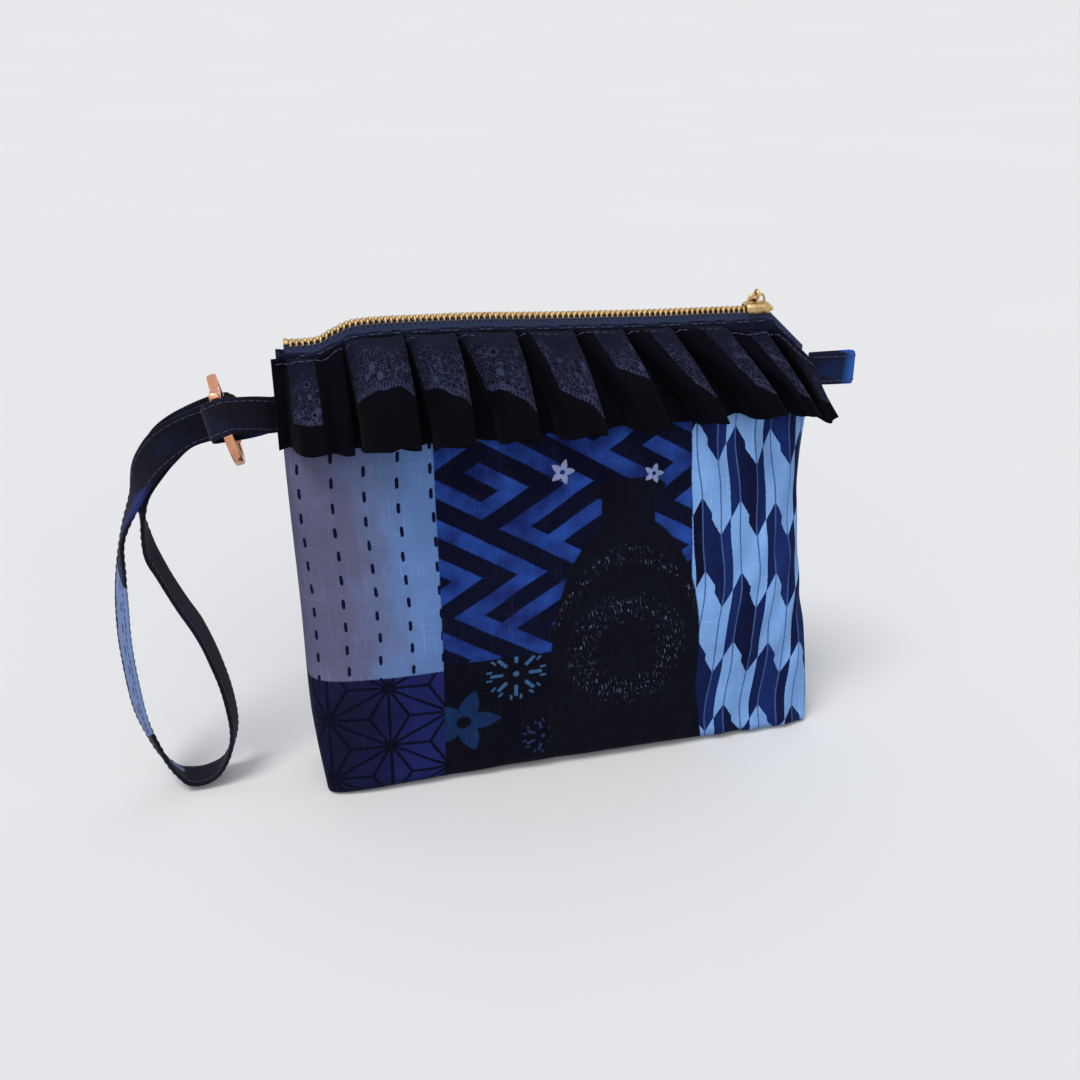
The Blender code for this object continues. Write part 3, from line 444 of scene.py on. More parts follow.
def plan(share: Array, z: Array, inset: float) -> tuple[Array, Array]:
    """Front half outline at height z.

    The outline is the superellipse |x/w|^n + |y/d|^n = 1, whose width w, depth d and squareness n come from
    tables of height. The depth is rounded off at the foot by a quarter circle, smaller towards the corners.

    Args:
        share: places from -1 (left) to 1 (right).
        z: heights.
        inset: how far inside the outer face.

    Returns:
        x and y of the points.
    """
    square = ease(SQUARENESS, z)
    wide = outline_width(z, share < 0) - inset
    size = np.abs(share)
    start = np.arccos(np.minimum(MIDDLE_SHARE ** (square / 2.0), 1.0))
    angle = start * np.clip(1.0 - (size - MIDDLE_SHARE) / (1.0 - MIDDLE_SHARE), 0.0, 1.0)
    near = size <= MIDDLE_SHARE
    u = np.where(near, size, np.cos(angle) ** (2.0 / square))
    inner = (1.0 - np.minimum(size, 0.9999) ** square) ** (1.0 / square)
    v = np.where(near, inner, np.sin(angle) ** (2.0 / square))
    x = np.sign(share) * wide * u
    deep = ease(DEPTH, z) - inset + pucker(x, z) * v
    radius = FOOT_RADIUS_MIDDLE + (FOOT_RADIUS_END - FOOT_RADIUS_MIDDLE) * size**2
    lift = np.clip(1.0 - (z - inset) / radius, 0.0, 1.0)
    deep = deep - radius * (1.0 - np.sqrt(1.0 - lift**2))
    return x, -np.maximum(deep, 0.0) * v


def shares(middle: int, ends: int) -> Array:
    """Places along the half outline, closer together round the corners.

    Args:
        middle: steps across the middle.
        ends: steps round each corner.

    Returns:
        The places, from -1 to 1.
    """
    steps = MIDDLE_SHARE + (1.0 - MIDDLE_SHARE) * np.arange(ends, 0, -1) / ends
    inner = MIDDLE_SHARE * (1.0 - 2.0 * np.arange(middle + 1) / middle)
    return np.concatenate([-steps, -inner, steps[::-1]])


def body_depth(x: Array, z: Array) -> Array:
    """Depth of the front cloth.

    Args:
        x: places along the pouch.
        z: heights.

    Returns:
        Distance of the cloth from the middle plane.
    """
    wide = outline_width(z, x < 0)
    square = ease(SQUARENESS, z)
    u = np.minimum(np.abs(x) / wide, 0.985)
    v = (1.0 - u**square) ** (1.0 / square)
    return (ease(DEPTH, z) + pucker(x, z) * v) * v


def fine_folds(x: Array, z: Array) -> Array:
    """Small folds that the thread pulls into the cloth, in metres off the smooth form.

    Short upright gathers hang from the ruffle's seam and fade down, slanting creases cross the right side,
    and a shallow dent lies over each lower corner. Each term is a height in metres times its waves.

    Args:
        x: places along the pouch.
        z: heights.

    Returns:
        The folds' height at each place.
    """
    hang = np.exp(-((PANEL_TOP - z) / 0.022))
    gathers = 0.00035 * hang * (np.sin(x * 640.0 + 2.0 * np.sin(x * 90.0)) + 0.5 * np.sin(x * 1130.0 + 1.3))
    right = smooth(0.050, 0.085, x)
    crease = 0.00055 * right * np.sin(x * 420.0 - z * 120.0 + 2.5 * np.sin(z * 46.0))
    sag = 0.00040 * np.sin(x * 58.0 + 0.8) * np.sin(z * 66.0 + 0.4)
    ripple = 0.00022 * np.sin(x * 190.0 - z * 240.0) * np.sin(z * 130.0 + x * 60.0 + 1.0)
    corner = -0.0014 * np.exp(-(((np.abs(x) - 0.080) / 0.020) ** 2) - ((z - 0.026) / 0.018) ** 2)
    base = 0.00030 * np.exp(-(((z - 0.012) / 0.010) ** 2)) * np.sin(x * 300.0 + 0.7)
    return gathers + crease + sag + ripple + corner + base


def half_wall(places: Array, heights: Array, inset: float, seam: float, base_rows: int, back: bool,
              detail: float = 1.0) -> tuple[Array, Array]:
    """One half of the bag, from the middle of its base up the wall, with its cloth map.

    Args:
        places: shares along the half outline.
        heights: levels up the wall.
        inset: how far inside the outer face.
        seam: least distance from the other half.
        base_rows: rows across the base before the wall starts.
        back: whether it is the back half.
        detail: strength of the small folds.

    Returns:
        Grid of points, and grid of cloth places: along the outline from its middle, and up from the foot.
    """
    side = 1.0 if back else -1.0
    share, z = np.meshgrid(places, heights)
    x, y = plan(share, z, inset)
    swell = np.clip(-y / 0.004, 0.0, 1.0)
    fold = detail * fine_folds(x, z) * swell
    near = np.exp(-np.abs(z - PANEL_TOP) / 0.0011) * 0.0007 + np.exp(-(1.0 - np.abs(share)) / 0.012) * 0.0004
    y = y - fold + near * swell * detail
    wall = np.stack([x, side * np.maximum(-y, seam), z - end_drop(x, z)], axis=-1)
    grid = wall
    if base_rows:
        floor = np.full_like(places, inset)
        rim_x, rim_y = plan(places, floor, inset)
        end = np.where(places > 0, np.abs(rim_x[-1]), np.abs(rim_x[0]))
        middle = np.sign(places) * np.abs(places) ** 0.8 * end
        part = (np.arange(base_rows) / base_rows)[:, None]
        px = middle[None, :] + (rim_x - middle)[None, :] * part
        py = rim_y[None, :] * part
        base = np.stack([px, side * np.maximum(-py, seam), np.full_like(px, inset)], axis=-1)
        grid = np.concatenate([base, wall], axis=0)
    steps = np.linalg.norm(np.diff(grid, axis=1), axis=-1)
    along = np.concatenate([np.zeros((len(grid), 1)), np.cumsum(steps, axis=1)], axis=1)
    middle_col = int(np.argmin(np.abs(places)))
    along = along - along[:, middle_col:middle_col + 1]
    rise = np.linalg.norm(np.diff(grid, axis=0), axis=-1)
    up = np.concatenate([np.zeros((1, len(places))), np.cumsum(rise, axis=0)], axis=0)
    up = up[:, middle_col:middle_col + 1] - up[base_rows, middle_col] + 0.0 * along
    return grid, np.stack([along, up], axis=-1)


# Colours and node networks


Tone = tuple[float, float, float, float]


def tone(red: float, green: float, blue: float) -> Tone:
    """Linear colour from screen values of 0 to 255.

    Args:
        red: red value.
        green: green value.
        blue: blue value.

    Returns:
        The colour, opaque.
    """
    def bend(value: float) -> float:
        """Screen value to light."""
        c = value / 255.0
        return c / 12.92 if c <= 0.04045 else ((c + 0.055) / 1.055) ** 2.4

    return bend(red), bend(green), bend(blue), 1.0


class Wire:
    """One output of a node network, which can be reckoned with like a number."""

    def __init__(self, net: Net, socket: bpy.types.NodeSocket) -> None:
        """Holds the socket and the network it is in."""
        self.net = net
        self.socket = socket

    def __add__(self, other: Value) -> Wire:
        """Sum."""
        return self.net.math("ADD", self, other)

    __radd__ = __add__

    def __sub__(self, other: Value) -> Wire:
        """Difference."""
        return self.net.math("SUBTRACT", self, other)

    def __rsub__(self, other: Value) -> Wire:
        """Difference."""
        return self.net.math("SUBTRACT", other, self)

    def __mul__(self, other: Value) -> Wire:
        """Product."""
        return self.net.math("MULTIPLY", self, other)

    __rmul__ = __mul__

    def __truediv__(self, other: Value) -> Wire:
        """Quotient."""
        return self.net.math("DIVIDE", self, other)

    def __rtruediv__(self, other: Value) -> Wire:
        """Quotient."""
        return self.net.math("DIVIDE", other, self)

    def __neg__(self) -> Wire:
        """Negative."""
        return self.net.math("MULTIPLY", self, -1.0)

    def __abs__(self) -> Wire:
        """Size without sign."""
        return self.net.math("ABSOLUTE", self)


Value = Union[Wire, float, Tone]


class Net:
    """A node tree under construction; each call adds a node and gives its output."""

    def __init__(self, tree: bpy.types.NodeTree) -> None:
        """Starts on an empty tree."""
        self.tree = tree
        self.count = 0

    def node(self, kind: str, **settings: Union[str, bool, float]) -> bpy.types.Node:
        """Adds a node.

        Args:
            kind: type of the node.
            settings: its properties by name.

        Returns:
            The node.
        """
        made = self.tree.nodes.new(kind)
        made.location = (180.0 * (self.count // 12), -160.0 * (self.count % 12))
        self.count += 1
        for key, value in settings.items():
            setattr(made, key, value)
        return made

    def feed(self, socket: bpy.types.NodeSocket, value: Value) -> None:
        """Links a wire to a socket, or sets the socket's own value.

        Args:
            socket: input of a node.
            value: wire, number or colour.
        """
        if isinstance(value, Wire):
            self.tree.links.new(value.socket, socket)
        else:
            socket.default_value = value

    def call(self, kind: str, given: dict[Union[int, str], Value], out: Union[int, str] = 0,
             **settings: Union[str, bool, float]) -> Wire:
        """Adds a node and feeds its inputs.

        Args:
            kind: type of the node.
            given: values by the input's name or number.
            out: name or number of the output that is wanted.
            settings: the node's properties by name.

        Returns:
            The output.
        """
        made = self.node(kind, **settings)
        for key, value in given.items():
            self.feed(made.inputs[key], value)
        return Wire(self, made.outputs[out])

    def math(self, operation: str, *values: Value) -> Wire:
        """One Math node."""
        return self.call("ShaderNodeMath", dict(enumerate(values)), operation=operation)

    def sine(self, angle: Wire) -> Wire:
        """Sine of an angle."""
        return self.math("SINE", angle)

    def root(self, value: Wire) -> Wire:
        """Square root."""
        return self.math("SQRT", value)

    def least(self, a: Value, b: Value) -> Wire:
        """Smaller of two."""
        return self.math("MINIMUM", a, b)

    def most(self, a: Value, b: Value) -> Wire:
        """Larger of two."""
        return self.math("MAXIMUM", a, b)

    def clamp(self, value: Value) -> Wire:
        """Value kept from 0 to 1."""
        return self.call("ShaderNodeClamp", {0: value})

    def inside(self, distance: Value, soft: float) -> Wire:
        """1 where a signed distance is below zero, going to 0 over a soft edge."""
        return self.clamp(0.5 - distance / soft)

    def wrap(self, value: Value, pitch: float) -> Wire:
        """Value repeated so that it runs from minus half a pitch to plus half."""
        return self.math("WRAP", value, pitch / 2, -pitch / 2)

    def index(self, value: Value, pitch: float) -> Wire:
        """Number of the repeat that a value lies in."""
        return self.math("FLOOR", value / pitch + 0.5)

    def odd(self, value: Value) -> Wire:
        """1 for odd whole numbers and 0 for even ones."""
        return abs(self.math("MODULO", value, 2.0))

    def lerp(self, share: Value, a: Value, b: Value) -> Wire:
        """Number between two, the first at share 0 and the second at 1."""
        return self.call("ShaderNodeMix", {0: share, 2: a, 3: b}, data_type="FLOAT")

    def blend(self, share: Value, a: Value, b: Value, how: str = "MIX") -> Wire:
        """Colour between two, the first at share 0 and the second at 1."""
        return self.call("ShaderNodeMix", {0: share, 6: a, 7: b}, 2, data_type="RGBA", blend_type=how)

    def vector(self, x: Value, y: Value, z: Value = 0.0) -> Wire:
        """Vector from three numbers."""
        return self.call("ShaderNodeCombineXYZ", {0: x, 1: y, 2: z})

    def split(self, vector: Wire) -> tuple[Wire, ...]:
        """Three numbers of a vector."""
        first = self.call("ShaderNodeSeparateXYZ", {0: vector})
        return tuple(Wire(self, socket) for socket in first.socket.node.outputs)

    def noise(self, place: Wire, scale: float, detail: float = 2.0, rough: float = 0.5) -> Wire:
        """Noise from 0 to 1 at a place."""
        given = {"Vector": place, "Scale": scale, "Detail": detail, "Roughness": rough}
        return self.call("ShaderNodeTexNoise", given)

    def fog(self, x: Wire, y: Wire, across: float, up: float, seed: float = 0.0, detail: float = 2.0,
            rough: float = 0.5) -> Wire:
        """Noise on the cloth, with about across lumps to a mm one way and up lumps the other."""
        return self.noise(self.vector(x * across, y * up, seed), 1.0, detail, rough)

    def cells(self, x: Wire, y: Wire, jitter: float) -> Wire:
        """Distance to the nearest of points scattered one to a unit square."""
        given = {"Vector": self.vector(x, y), "Scale": 1.0, "Randomness": jitter}
        return self.call("ShaderNodeTexVoronoi", given, "Distance")

    def cloth(self) -> tuple[Wire, Wire]:
        """Place on the cloth in millimetres: along, and up."""
        x, y, _ = self.split(self.call("ShaderNodeUVMap", {}, uv_map="cloth"))
        return x * 1000.0, y * 1000.0

    def object_place(self) -> Wire:
        """Place in the object's own space, in metres."""
        return self.call("ShaderNodeTexCoord", {}, "Object")

    def seen(self) -> Wire:
        """Tells rays that show a thing from light that falls on it.

        Returns:
            1 for rays that come from the camera or by way of a mirror or glass, and 0 for others.
        """
        rays = self.node("ShaderNodeLightPath").outputs
        kinds = ("Camera", "Glossy", "Transmission")
        camera, mirror, glass = (Wire(self, rays[f"Is {kind} Ray"]) for kind in kinds)
        return self.most(camera, self.most(mirror, glass))

    def use(self, pattern: Pattern, u: Value, v: Value, **values: Value) -> dict[str, Wire]:
        """Places a pattern's node group.

        Args:
            pattern: the pattern.
            u: place along the cloth in mm.
            v: place up the cloth in mm.
            values: its other inputs by name.

        Returns:
            Its outputs by name.
        """
        made = self.node("ShaderNodeGroup")
        made.node_tree = pattern.group()
        for name, value in {"U": u, "V": v, **values}.items():
            self.feed(made.inputs[name], value)
        return {socket.name: Wire(self, socket) for socket in made.outputs}

    def bump(self, height: Wire, strength: float, distance: float) -> Wire:
        """Normal from a height, in units of the given distance in metres."""
        return self.call("ShaderNodeBump", {"Strength": strength, "Distance": distance, "Height": height})


def effect(name: str, inputs: Sequence[str], outputs: Sequence[str],
           fill: Callable[[Net, dict[str, Wire]], dict[str, Wire]]) -> bpy.types.NodeTree:
    """Makes a node group, once.

    Args:
        name: group name.
        inputs: names of its inputs, all numbers.
        outputs: names of its outputs, all numbers.
        fill: builds the network from the inputs and gives the outputs by name.

    Returns:
        The node group.
    """
    found = bpy.data.node_groups.get(name)
    if found:
        return found
    tree = bpy.data.node_groups.new(name, "ShaderNodeTree")
    for way, names in (("INPUT", inputs), ("OUTPUT", outputs)):
        for item in names:
            tree.interface.new_socket(name=item, in_out=way, socket_type="NodeSocketFloat")
    net = Net(tree)
    start = net.node("NodeGroupInput")
    end = net.node("NodeGroupOutput")
    given = {socket.name: Wire(net, socket) for socket in start.outputs if socket.name}
    for item, wire in fill(net, given).items():
        net.feed(end.inputs[item], wire)
    return tree


def fill_slub(net: Net, given: dict[str, Wire]) -> dict[str, Wire]:
    """Woven slub cloth: fine over-and-under threads, with thicker yarns that come and go both ways.

    Inputs are the place in mm and the threads per mm. Outputs are a height and a tint, from 0 to 1.

    Args:
        net: the group's network.
        given: its inputs by name.

    Returns:
        Its outputs by name.
    """
    u, v, count = given["U"], given["V"], given["Threads"]
    turn = count * 2.0 * math.pi
    wobble = net.fog(u, v, 0.35, 0.35, detail=1.0) * 0.5
    warp = net.sine((u + wobble) * turn)
    weft = net.sine((v + wobble) * turn)
    weave = 0.5 + 0.25 * (warp * weft) + 0.12 * (warp + weft)
    across = net.fog(u, v, 0.045, 2.6, rough=0.6)
    down = net.noise(net.vector(u * 2.6 + 40.0, v * 0.045), 1.0, 2.0, 0.6)
    slub = net.clamp((across - 0.60) * 9.0) * 0.6 + net.clamp((down - 0.60) * 9.0)
    cloud = net.fog(u, v, 0.25, 0.25, 3.0, 3.0)
    height = weave * 0.35 + slub * 0.40 + cloud * 0.2
    tint = net.clamp(slub * 0.75 + (cloud - 0.5) * 0.5 + (weave - 0.5) * 0.25)
    return {"Height": height, "Tint": tint}


def fill_dashes(net: Net, given: dict[str, Wire]) -> dict[str, Wire]:
    """Rows of short upright running stitches, printed: columns 12 mm apart, dashes every 9.4 mm.

    Args:
        net: the group's network.
        given: its inputs by name.

    Returns:
        Its outputs by name.
    """
    u, v = given["U"], given["V"]
    sway = 0.9 * net.sine(v * 0.055 + 0.6)
    apart, pitch = 12.0, 9.4
    column = net.index(u + sway, apart)
    a = net.wrap(u + sway, apart)
    step = net.math("FRACT", abs(column) * 0.47 + 0.13) * pitch
    row = net.index(v + step, pitch)
    b = net.wrap(v + step, pitch)
    loose = net.fog(column, row, 3.1, 2.7, detail=0.0) - 0.5
    a = a + loose * 1.6
    b = b + loose * 1.2
    size = net.math("POWER", abs(a) / 0.68, 2.5) + net.math("POWER", abs(b) / 2.05, 4.0)
    return {"Mask": net.inside(size - 1.0, 0.35)}


KEY_BARS = ((4.0, 0.5, 4.2, 0.5), (6.5, 3.0, 0.5, 2.0), (4.0, 4.5, 2.0, 0.5), (2.5, 3.0, 0.5, 1.0),
            (4.0, 2.5, 1.0, 0.5), (0.5, 4.0, 0.5, 2.0))


def fill_fret(net: Net, given: dict[str, Wire]) -> dict[str, Wire]:
    """Key fret laid slantwise: bars one unit wide on a grid of 8 by 6 units, whose axes slope 31 degrees.

    Args:
        net: the group's network.
        given: its inputs by name.

    Returns:
        Its outputs by name.
    """
    u, v = given["U"], given["V"]
    unit_size = 7.3
    flat, tall = math.cos(math.radians(31.0)), math.sin(math.radians(31.0))
    a = (u * (0.5 / flat) - v * (0.5 / tall)) / unit_size
    b = (u * (0.5 / flat) + v * (0.5 / tall)) / unit_size
    rank = net.math("FLOOR", b / 6.0)
    a = a + rank * 3.0
    nearest: Optional[Wire] = None
    for x, y, half_x, half_y in KEY_BARS:
        far = net.most(abs(net.wrap(a - x, 8.0)) - half_x, abs(net.wrap(b - y, 6.0)) - half_y) - 0.04
        nearest = far if nearest is None else net.least(nearest, far)
    return {"Mask": net.inside(nearest, 0.08)}


def fill_leaf(net: Net, given: dict[str, Wire]) -> dict[str, Wire]:
    """Hemp leaf: twelve rays from each point of a triangular lattice 27 mm apart.

    Args:
        net: the group's network.
        given: its inputs by name.

    Returns:
        Its outputs by name.
    """
    u, v = given["U"], given["V"]
    side = 27.0
    wide = side * math.sqrt(3.0)
    x1, y1 = net.wrap(u, wide), net.wrap(v, side)
    x2, y2 = net.wrap(u + wide / 2, wide), net.wrap(v + side / 2, side)
    r1 = x1 * x1 + y1 * y1
    r2 = x2 * x2 + y2 * y2
    second = net.math("LESS_THAN", r2, r1)
    x, y = net.lerp(second, x1, x2), net.lerp(second, y1, y2)
    r = net.root(x * x + y * y)
    angle = net.math("ARCTAN2", y, x)
    ray = abs(net.sine(net.wrap(angle, math.radians(30.0)))) * r
    return {"Mask": net.most(net.inside(ray - 0.62, 0.30), net.inside(r - 2.0, 0.8))}


def fill_feathers(net: Net, given: dict[str, Wire]) -> dict[str, Wire]:
    """Arrow feathers: columns 8.2 mm wide whose light and dark halves end in chevrons, up and down by turns.

    The mask is 1 on light feathers, the line is 1 along shafts, and the deep is a tint.

    Args:
        net: the group's network.
        given: its inputs by name.

    Returns:
        Its outputs by name.
    """
    u, v = given["U"], given["V"]
    lean = u + 1.6 * net.sine(v * 0.052 + 0.9) + 0.5 * net.sine(v * 0.16)
    column_width = 8.2
    column = net.index(lean, column_width)
    a = net.wrap(lean, column_width)
    odd = net.odd(column)
    point = net.lerp(odd, 1.7, -1.7)
    along = v + abs(a) * point + column * 17.0
    phase = net.wrap(along, 61.0)
    light = net.inside(abs(phase) - 15.2, 0.35)
    shaft = net.inside(abs(a) - 0.28, 0.25)
    deep = net.math("FRACT", abs(column) * 0.37 + net.math("GREATER_THAN", a, 0.0) * 0.45)
    return {"Mask": light * (1.0 - shaft), "Line": shaft, "Deep": deep}


def fill_bloom(net: Net, given: dict[str, Wire]) -> dict[str, Wire]:
    """Flower about the origin: petals that swell from the middle and end in points, and one of dashed rays.

    Inputs are the place in mm, the petal count and their reach in mm.

    Args:
        net: the group's network.
        given: its inputs by name.

    Returns:
        Its outputs by name.
    """
    u, v, petals, reach = given["U"], given["V"], given["Petals"], given["Reach"]
    r = net.root(u * u + v * v) / reach
    angle = net.math("ARCTAN2", v, u)
    sector = net.math("PINGPONG", angle * petals / (2.0 * math.pi), 0.5)
    half = 0.52 * net.sine(net.clamp(r) * math.pi * 0.93 + 0.15)
    petal = net.inside(sector * r * 2.4 - half, 0.07) * net.inside(r - 1.0, 0.05) * net.inside(0.20 - r, 0.04)
    width = sector * r * 4.4
    dash = net.inside(width - 0.34, 0.10) * net.inside(abs(r - 0.62) - 0.20, 0.05)
    outer = net.inside(abs(width - 0.9) - 0.22, 0.10) * net.inside(abs(r - 0.88) - 0.09, 0.05)
    return {"Petals": petal, "Dashes": net.most(net.most(dash, outer), net.inside(r - 0.10, 0.04))}


class Pattern(Enum):
    """The printed patterns and the woven ground, as node groups."""

    SLUB = "slub_weave"
    DASHES = "running_dashes"
    FRET = "key_fret"
    LEAF = "hemp_leaf"
    FEATHERS = "arrow_feathers"
    BLOOM = "bloom"

    def group(self) -> bpy.types.NodeTree:
        """Node group of the pattern, whose inputs are the place in mm and what else it needs.

        Returns:
            The group.
        """
        more, outputs, fill = {
            Pattern.SLUB: (("Threads",), ("Height", "Tint"), fill_slub),
            Pattern.DASHES: ((), ("Mask",), fill_dashes),
            Pattern.FRET: ((), ("Mask",), fill_fret),
            Pattern.LEAF: ((), ("Mask",), fill_leaf),
            Pattern.FEATHERS: ((), ("Mask", "Line", "Deep"), fill_feathers),
            Pattern.BLOOM: (("Petals", "Reach"), ("Petals", "Dashes"), fill_bloom),
        }[self]
        return effect(self.value, ("U", "V") + more, outputs, fill)


@dataclass(frozen=True)
class Finish:
    """A material that can be made; each kind gives what its shader's inputs get.

    Attributes:
        name: material name.
    """

    name: str

    def shade(self, net: Net) -> dict[str, Value]:
        """Values of the shader's inputs, whose names have underscores for spaces."""
        raise NotImplementedError(self.name)

    def make(self) -> bpy.types.Material:
        """Builds the material round a Principled shader.

        Returns:
            The material.
        """
        made = bpy.data.materials.new(self.name)
        made.use_nodes = True
        net = Net(made.node_tree)
        shader = made.node_tree.nodes["Principled BSDF"]
        for name, value in self.shade(net).items():
            net.feed(shader.inputs[name.replace("_", " ")], value)
        return made


@dataclass(frozen=True)
class PrintedCotton(Finish):
    """Patchwork print on slub cotton: fields of pattern side by side, with places in mm on the cloth.

    Attributes:
        shift: moves the fields along the cloth.
        centre: whether the dark middle design is printed.
        west_edge: where the dashes and the hemp leaf end.
        east_edge: where the feathers start.
        leaf_top: top of the hemp leaf at the middle, which slopes a little.
        flower_top: top of the dark field with flowers.
        edge_soft: width over which one field goes into the next.
    """

    shift: float = 0.0
    centre: bool = True
    west_edge: float = -54.0
    east_edge: float = 46.0
    leaf_top: float = 61.5
    flower_top: float = 62.0
    edge_soft: float = 0.5

    def shade(self, net: Net) -> dict[str, Value]:
        """Values of the shader's inputs.

        Args:
            net: the material's network.

        Returns:
            The values by name.
        """
        x, y = net.cloth()
        rough_edge = (net.fog(x, y, 0.9, 0.9) - 0.5) * 0.5
        u = x + self.shift + rough_edge
        v = y + rough_edge
        slub = net.use(Pattern.SLUB, x, y, Threads=1.9)
        colour = self.fields(net, u, v)
        if self.centre:
            colour = self.jar(net, u, v, colour)
        worn = net.blend(0.75 * slub["Tint"], colour, colour, "ADD")
        worn = net.blend(0.035 * slub["Tint"], worn, tone(150, 165, 205))
        cloud = net.fog(x, y, 0.03, 0.03, 8.0, 3.0)
        worn = net.blend(0.5 * cloud, worn, tone(120, 124, 150), "MULTIPLY")
        bump = net.bump(slub["Height"], 0.6, 0.00024)
        return dict(Base_Color=worn, Roughness=0.84 + 0.1 * slub["Tint"], Normal=bump, Sheen_Weight=0.01,
                    Sheen_Roughness=0.5, Specular_IOR_Level=0.04)

    def fields(self, net: Net, u: Wire, v: Wire) -> Wire:
        """Lays the fields of pattern side by side.

        Args:
            net: the material's network.
            u: place along the cloth.
            v: place up the cloth.

        Returns:
            The print's colour.
        """
        dash = net.use(Pattern.DASHES, u + 6.5, v)["Mask"]
        side = net.clamp((u + 88.0) / 26.0 + (net.fog(u, v, 0.07, 0.03) - 0.5) * 1.6)
        plain = net.blend(dash, net.blend(side, tone(104, 103, 132), tone(106, 140, 194)), tone(14, 17, 48))
        leaf = net.use(Pattern.LEAF, u + 75.5, v - 27.0)["Mask"]
        indigo = net.blend(leaf, net.blend(side, tone(24, 25, 54), tone(33, 40, 98)), tone(10, 11, 31))
        fret = net.use(Pattern.FRET, u + 31.0, v - 108.0)["Mask"]
        mottle = net.clamp((net.fog(u, v, 0.06, 0.06) - 0.35) * 3.0)
        royal = net.blend(mottle, tone(27, 40, 102), tone(44, 82, 168))
        key = net.blend(fret, royal, tone(12, 14, 38))
        flower: Value = tone(11, 11, 25)
        for along, up, petals, reach, part, ink in ((-46.5, 34.0, 5.0, 15.0, "Petals", tone(24, 50, 92)),
                                                    (-25.5, 54.0, 8.0, 12.5, "Dashes", tone(66, 104, 146)),
                                                    (-14.0, 22.0, 7.0, 9.0, "Dashes", tone(44, 58, 98))):
            bloom = net.use(Pattern.BLOOM, u - along, v - up, Petals=petals, Reach=reach)
            flower = net.blend(bloom[part], flower, ink)
        feather = net.use(Pattern.FEATHERS, u - 50.0, v - 12.0)
        dark = net.blend(feather["Deep"], tone(14, 16, 44), tone(30, 50, 112))
        dark = net.blend(feather["Line"], dark, tone(74, 104, 158))
        wing = net.blend(feather["Mask"], dark, tone(138, 184, 242))
        left = net.inside(u - self.west_edge, self.edge_soft)
        lower = net.inside(v - self.leaf_top - 0.04 * u, self.edge_soft)
        east_edge = self.east_edge + net.clamp((60.0 - v) / 60.0) * 11.0
        right = net.inside(east_edge - u, self.edge_soft)
        west = net.blend(lower, plain, indigo)
        east = net.blend(net.inside(v - self.flower_top, self.edge_soft), key, flower)
        return net.blend(right, net.blend(left, east, west), wing)

    def jar(self, net: Net, u: Wire, v: Wire, under: Wire) -> Wire:
        """Adds the middle design: a round-shouldered dark jar with flecks on it and blossoms over it.

        Args:
            net: the material's network.
            u: place along the cloth.
            v: place up the cloth.
            under: colour of the print under it.

        Returns:
            The colour with the design.
        """
        x = u - 19.5
        belly, lip = (net.root((x / wide) * (x / wide) + ((v - at) / high) * ((v - at) / high)) - 1.0
                      for wide, high, at in ((31.0, 60.0, 56.0), (15.0, 4.2, 126.0)))
        neck = net.most(abs(x) - 10.5, abs(v - 112.0) - 14.0) / 20.0
        body = net.inside(net.least(net.least(belly, neck), lip * 0.4), 0.02)
        foot = net.inside(abs(x) - 31.0, 0.8) * net.inside(v - 50.0, 0.8)
        body = net.most(body, foot)
        deep = net.blend(net.fog(u, v, 0.06, 0.06, 2.0, 3.0), tone(9, 9, 17), tone(17, 19, 33))
        colour = net.blend(body, under, deep)
        fleck = net.noise(net.vector(x * 1.5 + v * 0.25, v * 0.32), 1.0, 3.0, 0.7)
        ring = net.inside(abs(net.root(x * x + (v - 58.0) * (v - 58.0)) - 19.0) - 5.0, 5.0)
        shoulder = net.inside(abs(v - 100.0 + x * x * 0.03) - 3.0, 3.0)
        where = net.most(ring, shoulder) * body
        colour = net.blend(net.clamp((fleck - 0.60) * 14.0) * where * 0.8, colour, tone(150, 154, 190))
        for along, up, reach in ((-6.0, 135.0, 5.0), (30.0, 131.0, 4.0)):
            bloom = net.use(Pattern.BLOOM, u - along, v - up, Petals=5.0, Reach=reach)
            colour = net.blend(bloom["Petals"], colour, tone(150, 160, 200))
        return colour


@dataclass(frozen=True)
class PlainCotton(Finish):
    """Plain woven cotton of one colour, with cloudy wear and lint.

    Attributes:
        colour: screen colour of the cloth.
        light: screen colour of its raised threads.
        threads: threads per mm.
        rough: roughness.
    """

    colour: tuple[float, float, float]
    light: tuple[float, float, float]
    threads: float = 2.4
    rough: float = 0.88

    def shade(self, net: Net) -> dict[str, Value]:
        """Values of the shader's inputs.

        Args:
            net: the material's network.

        Returns:
            The values by name.
        """
        x, y = net.cloth()
        slub = net.use(Pattern.SLUB, x, y, Threads=self.threads)
        cloud = net.fog(x, y, 0.06, 0.06, 5.0, 3.0)
        colour = net.blend(0.45 * slub["Tint"] + 0.25 * cloud, tone(*self.colour), tone(*self.light))
        return dict(Base_Color=colour, Roughness=self.rough, Normal=net.bump(slub["Height"], 0.5, 0.00018),
                    Sheen_Weight=0.01, Sheen_Roughness=0.45, Specular_IOR_Level=0.04)


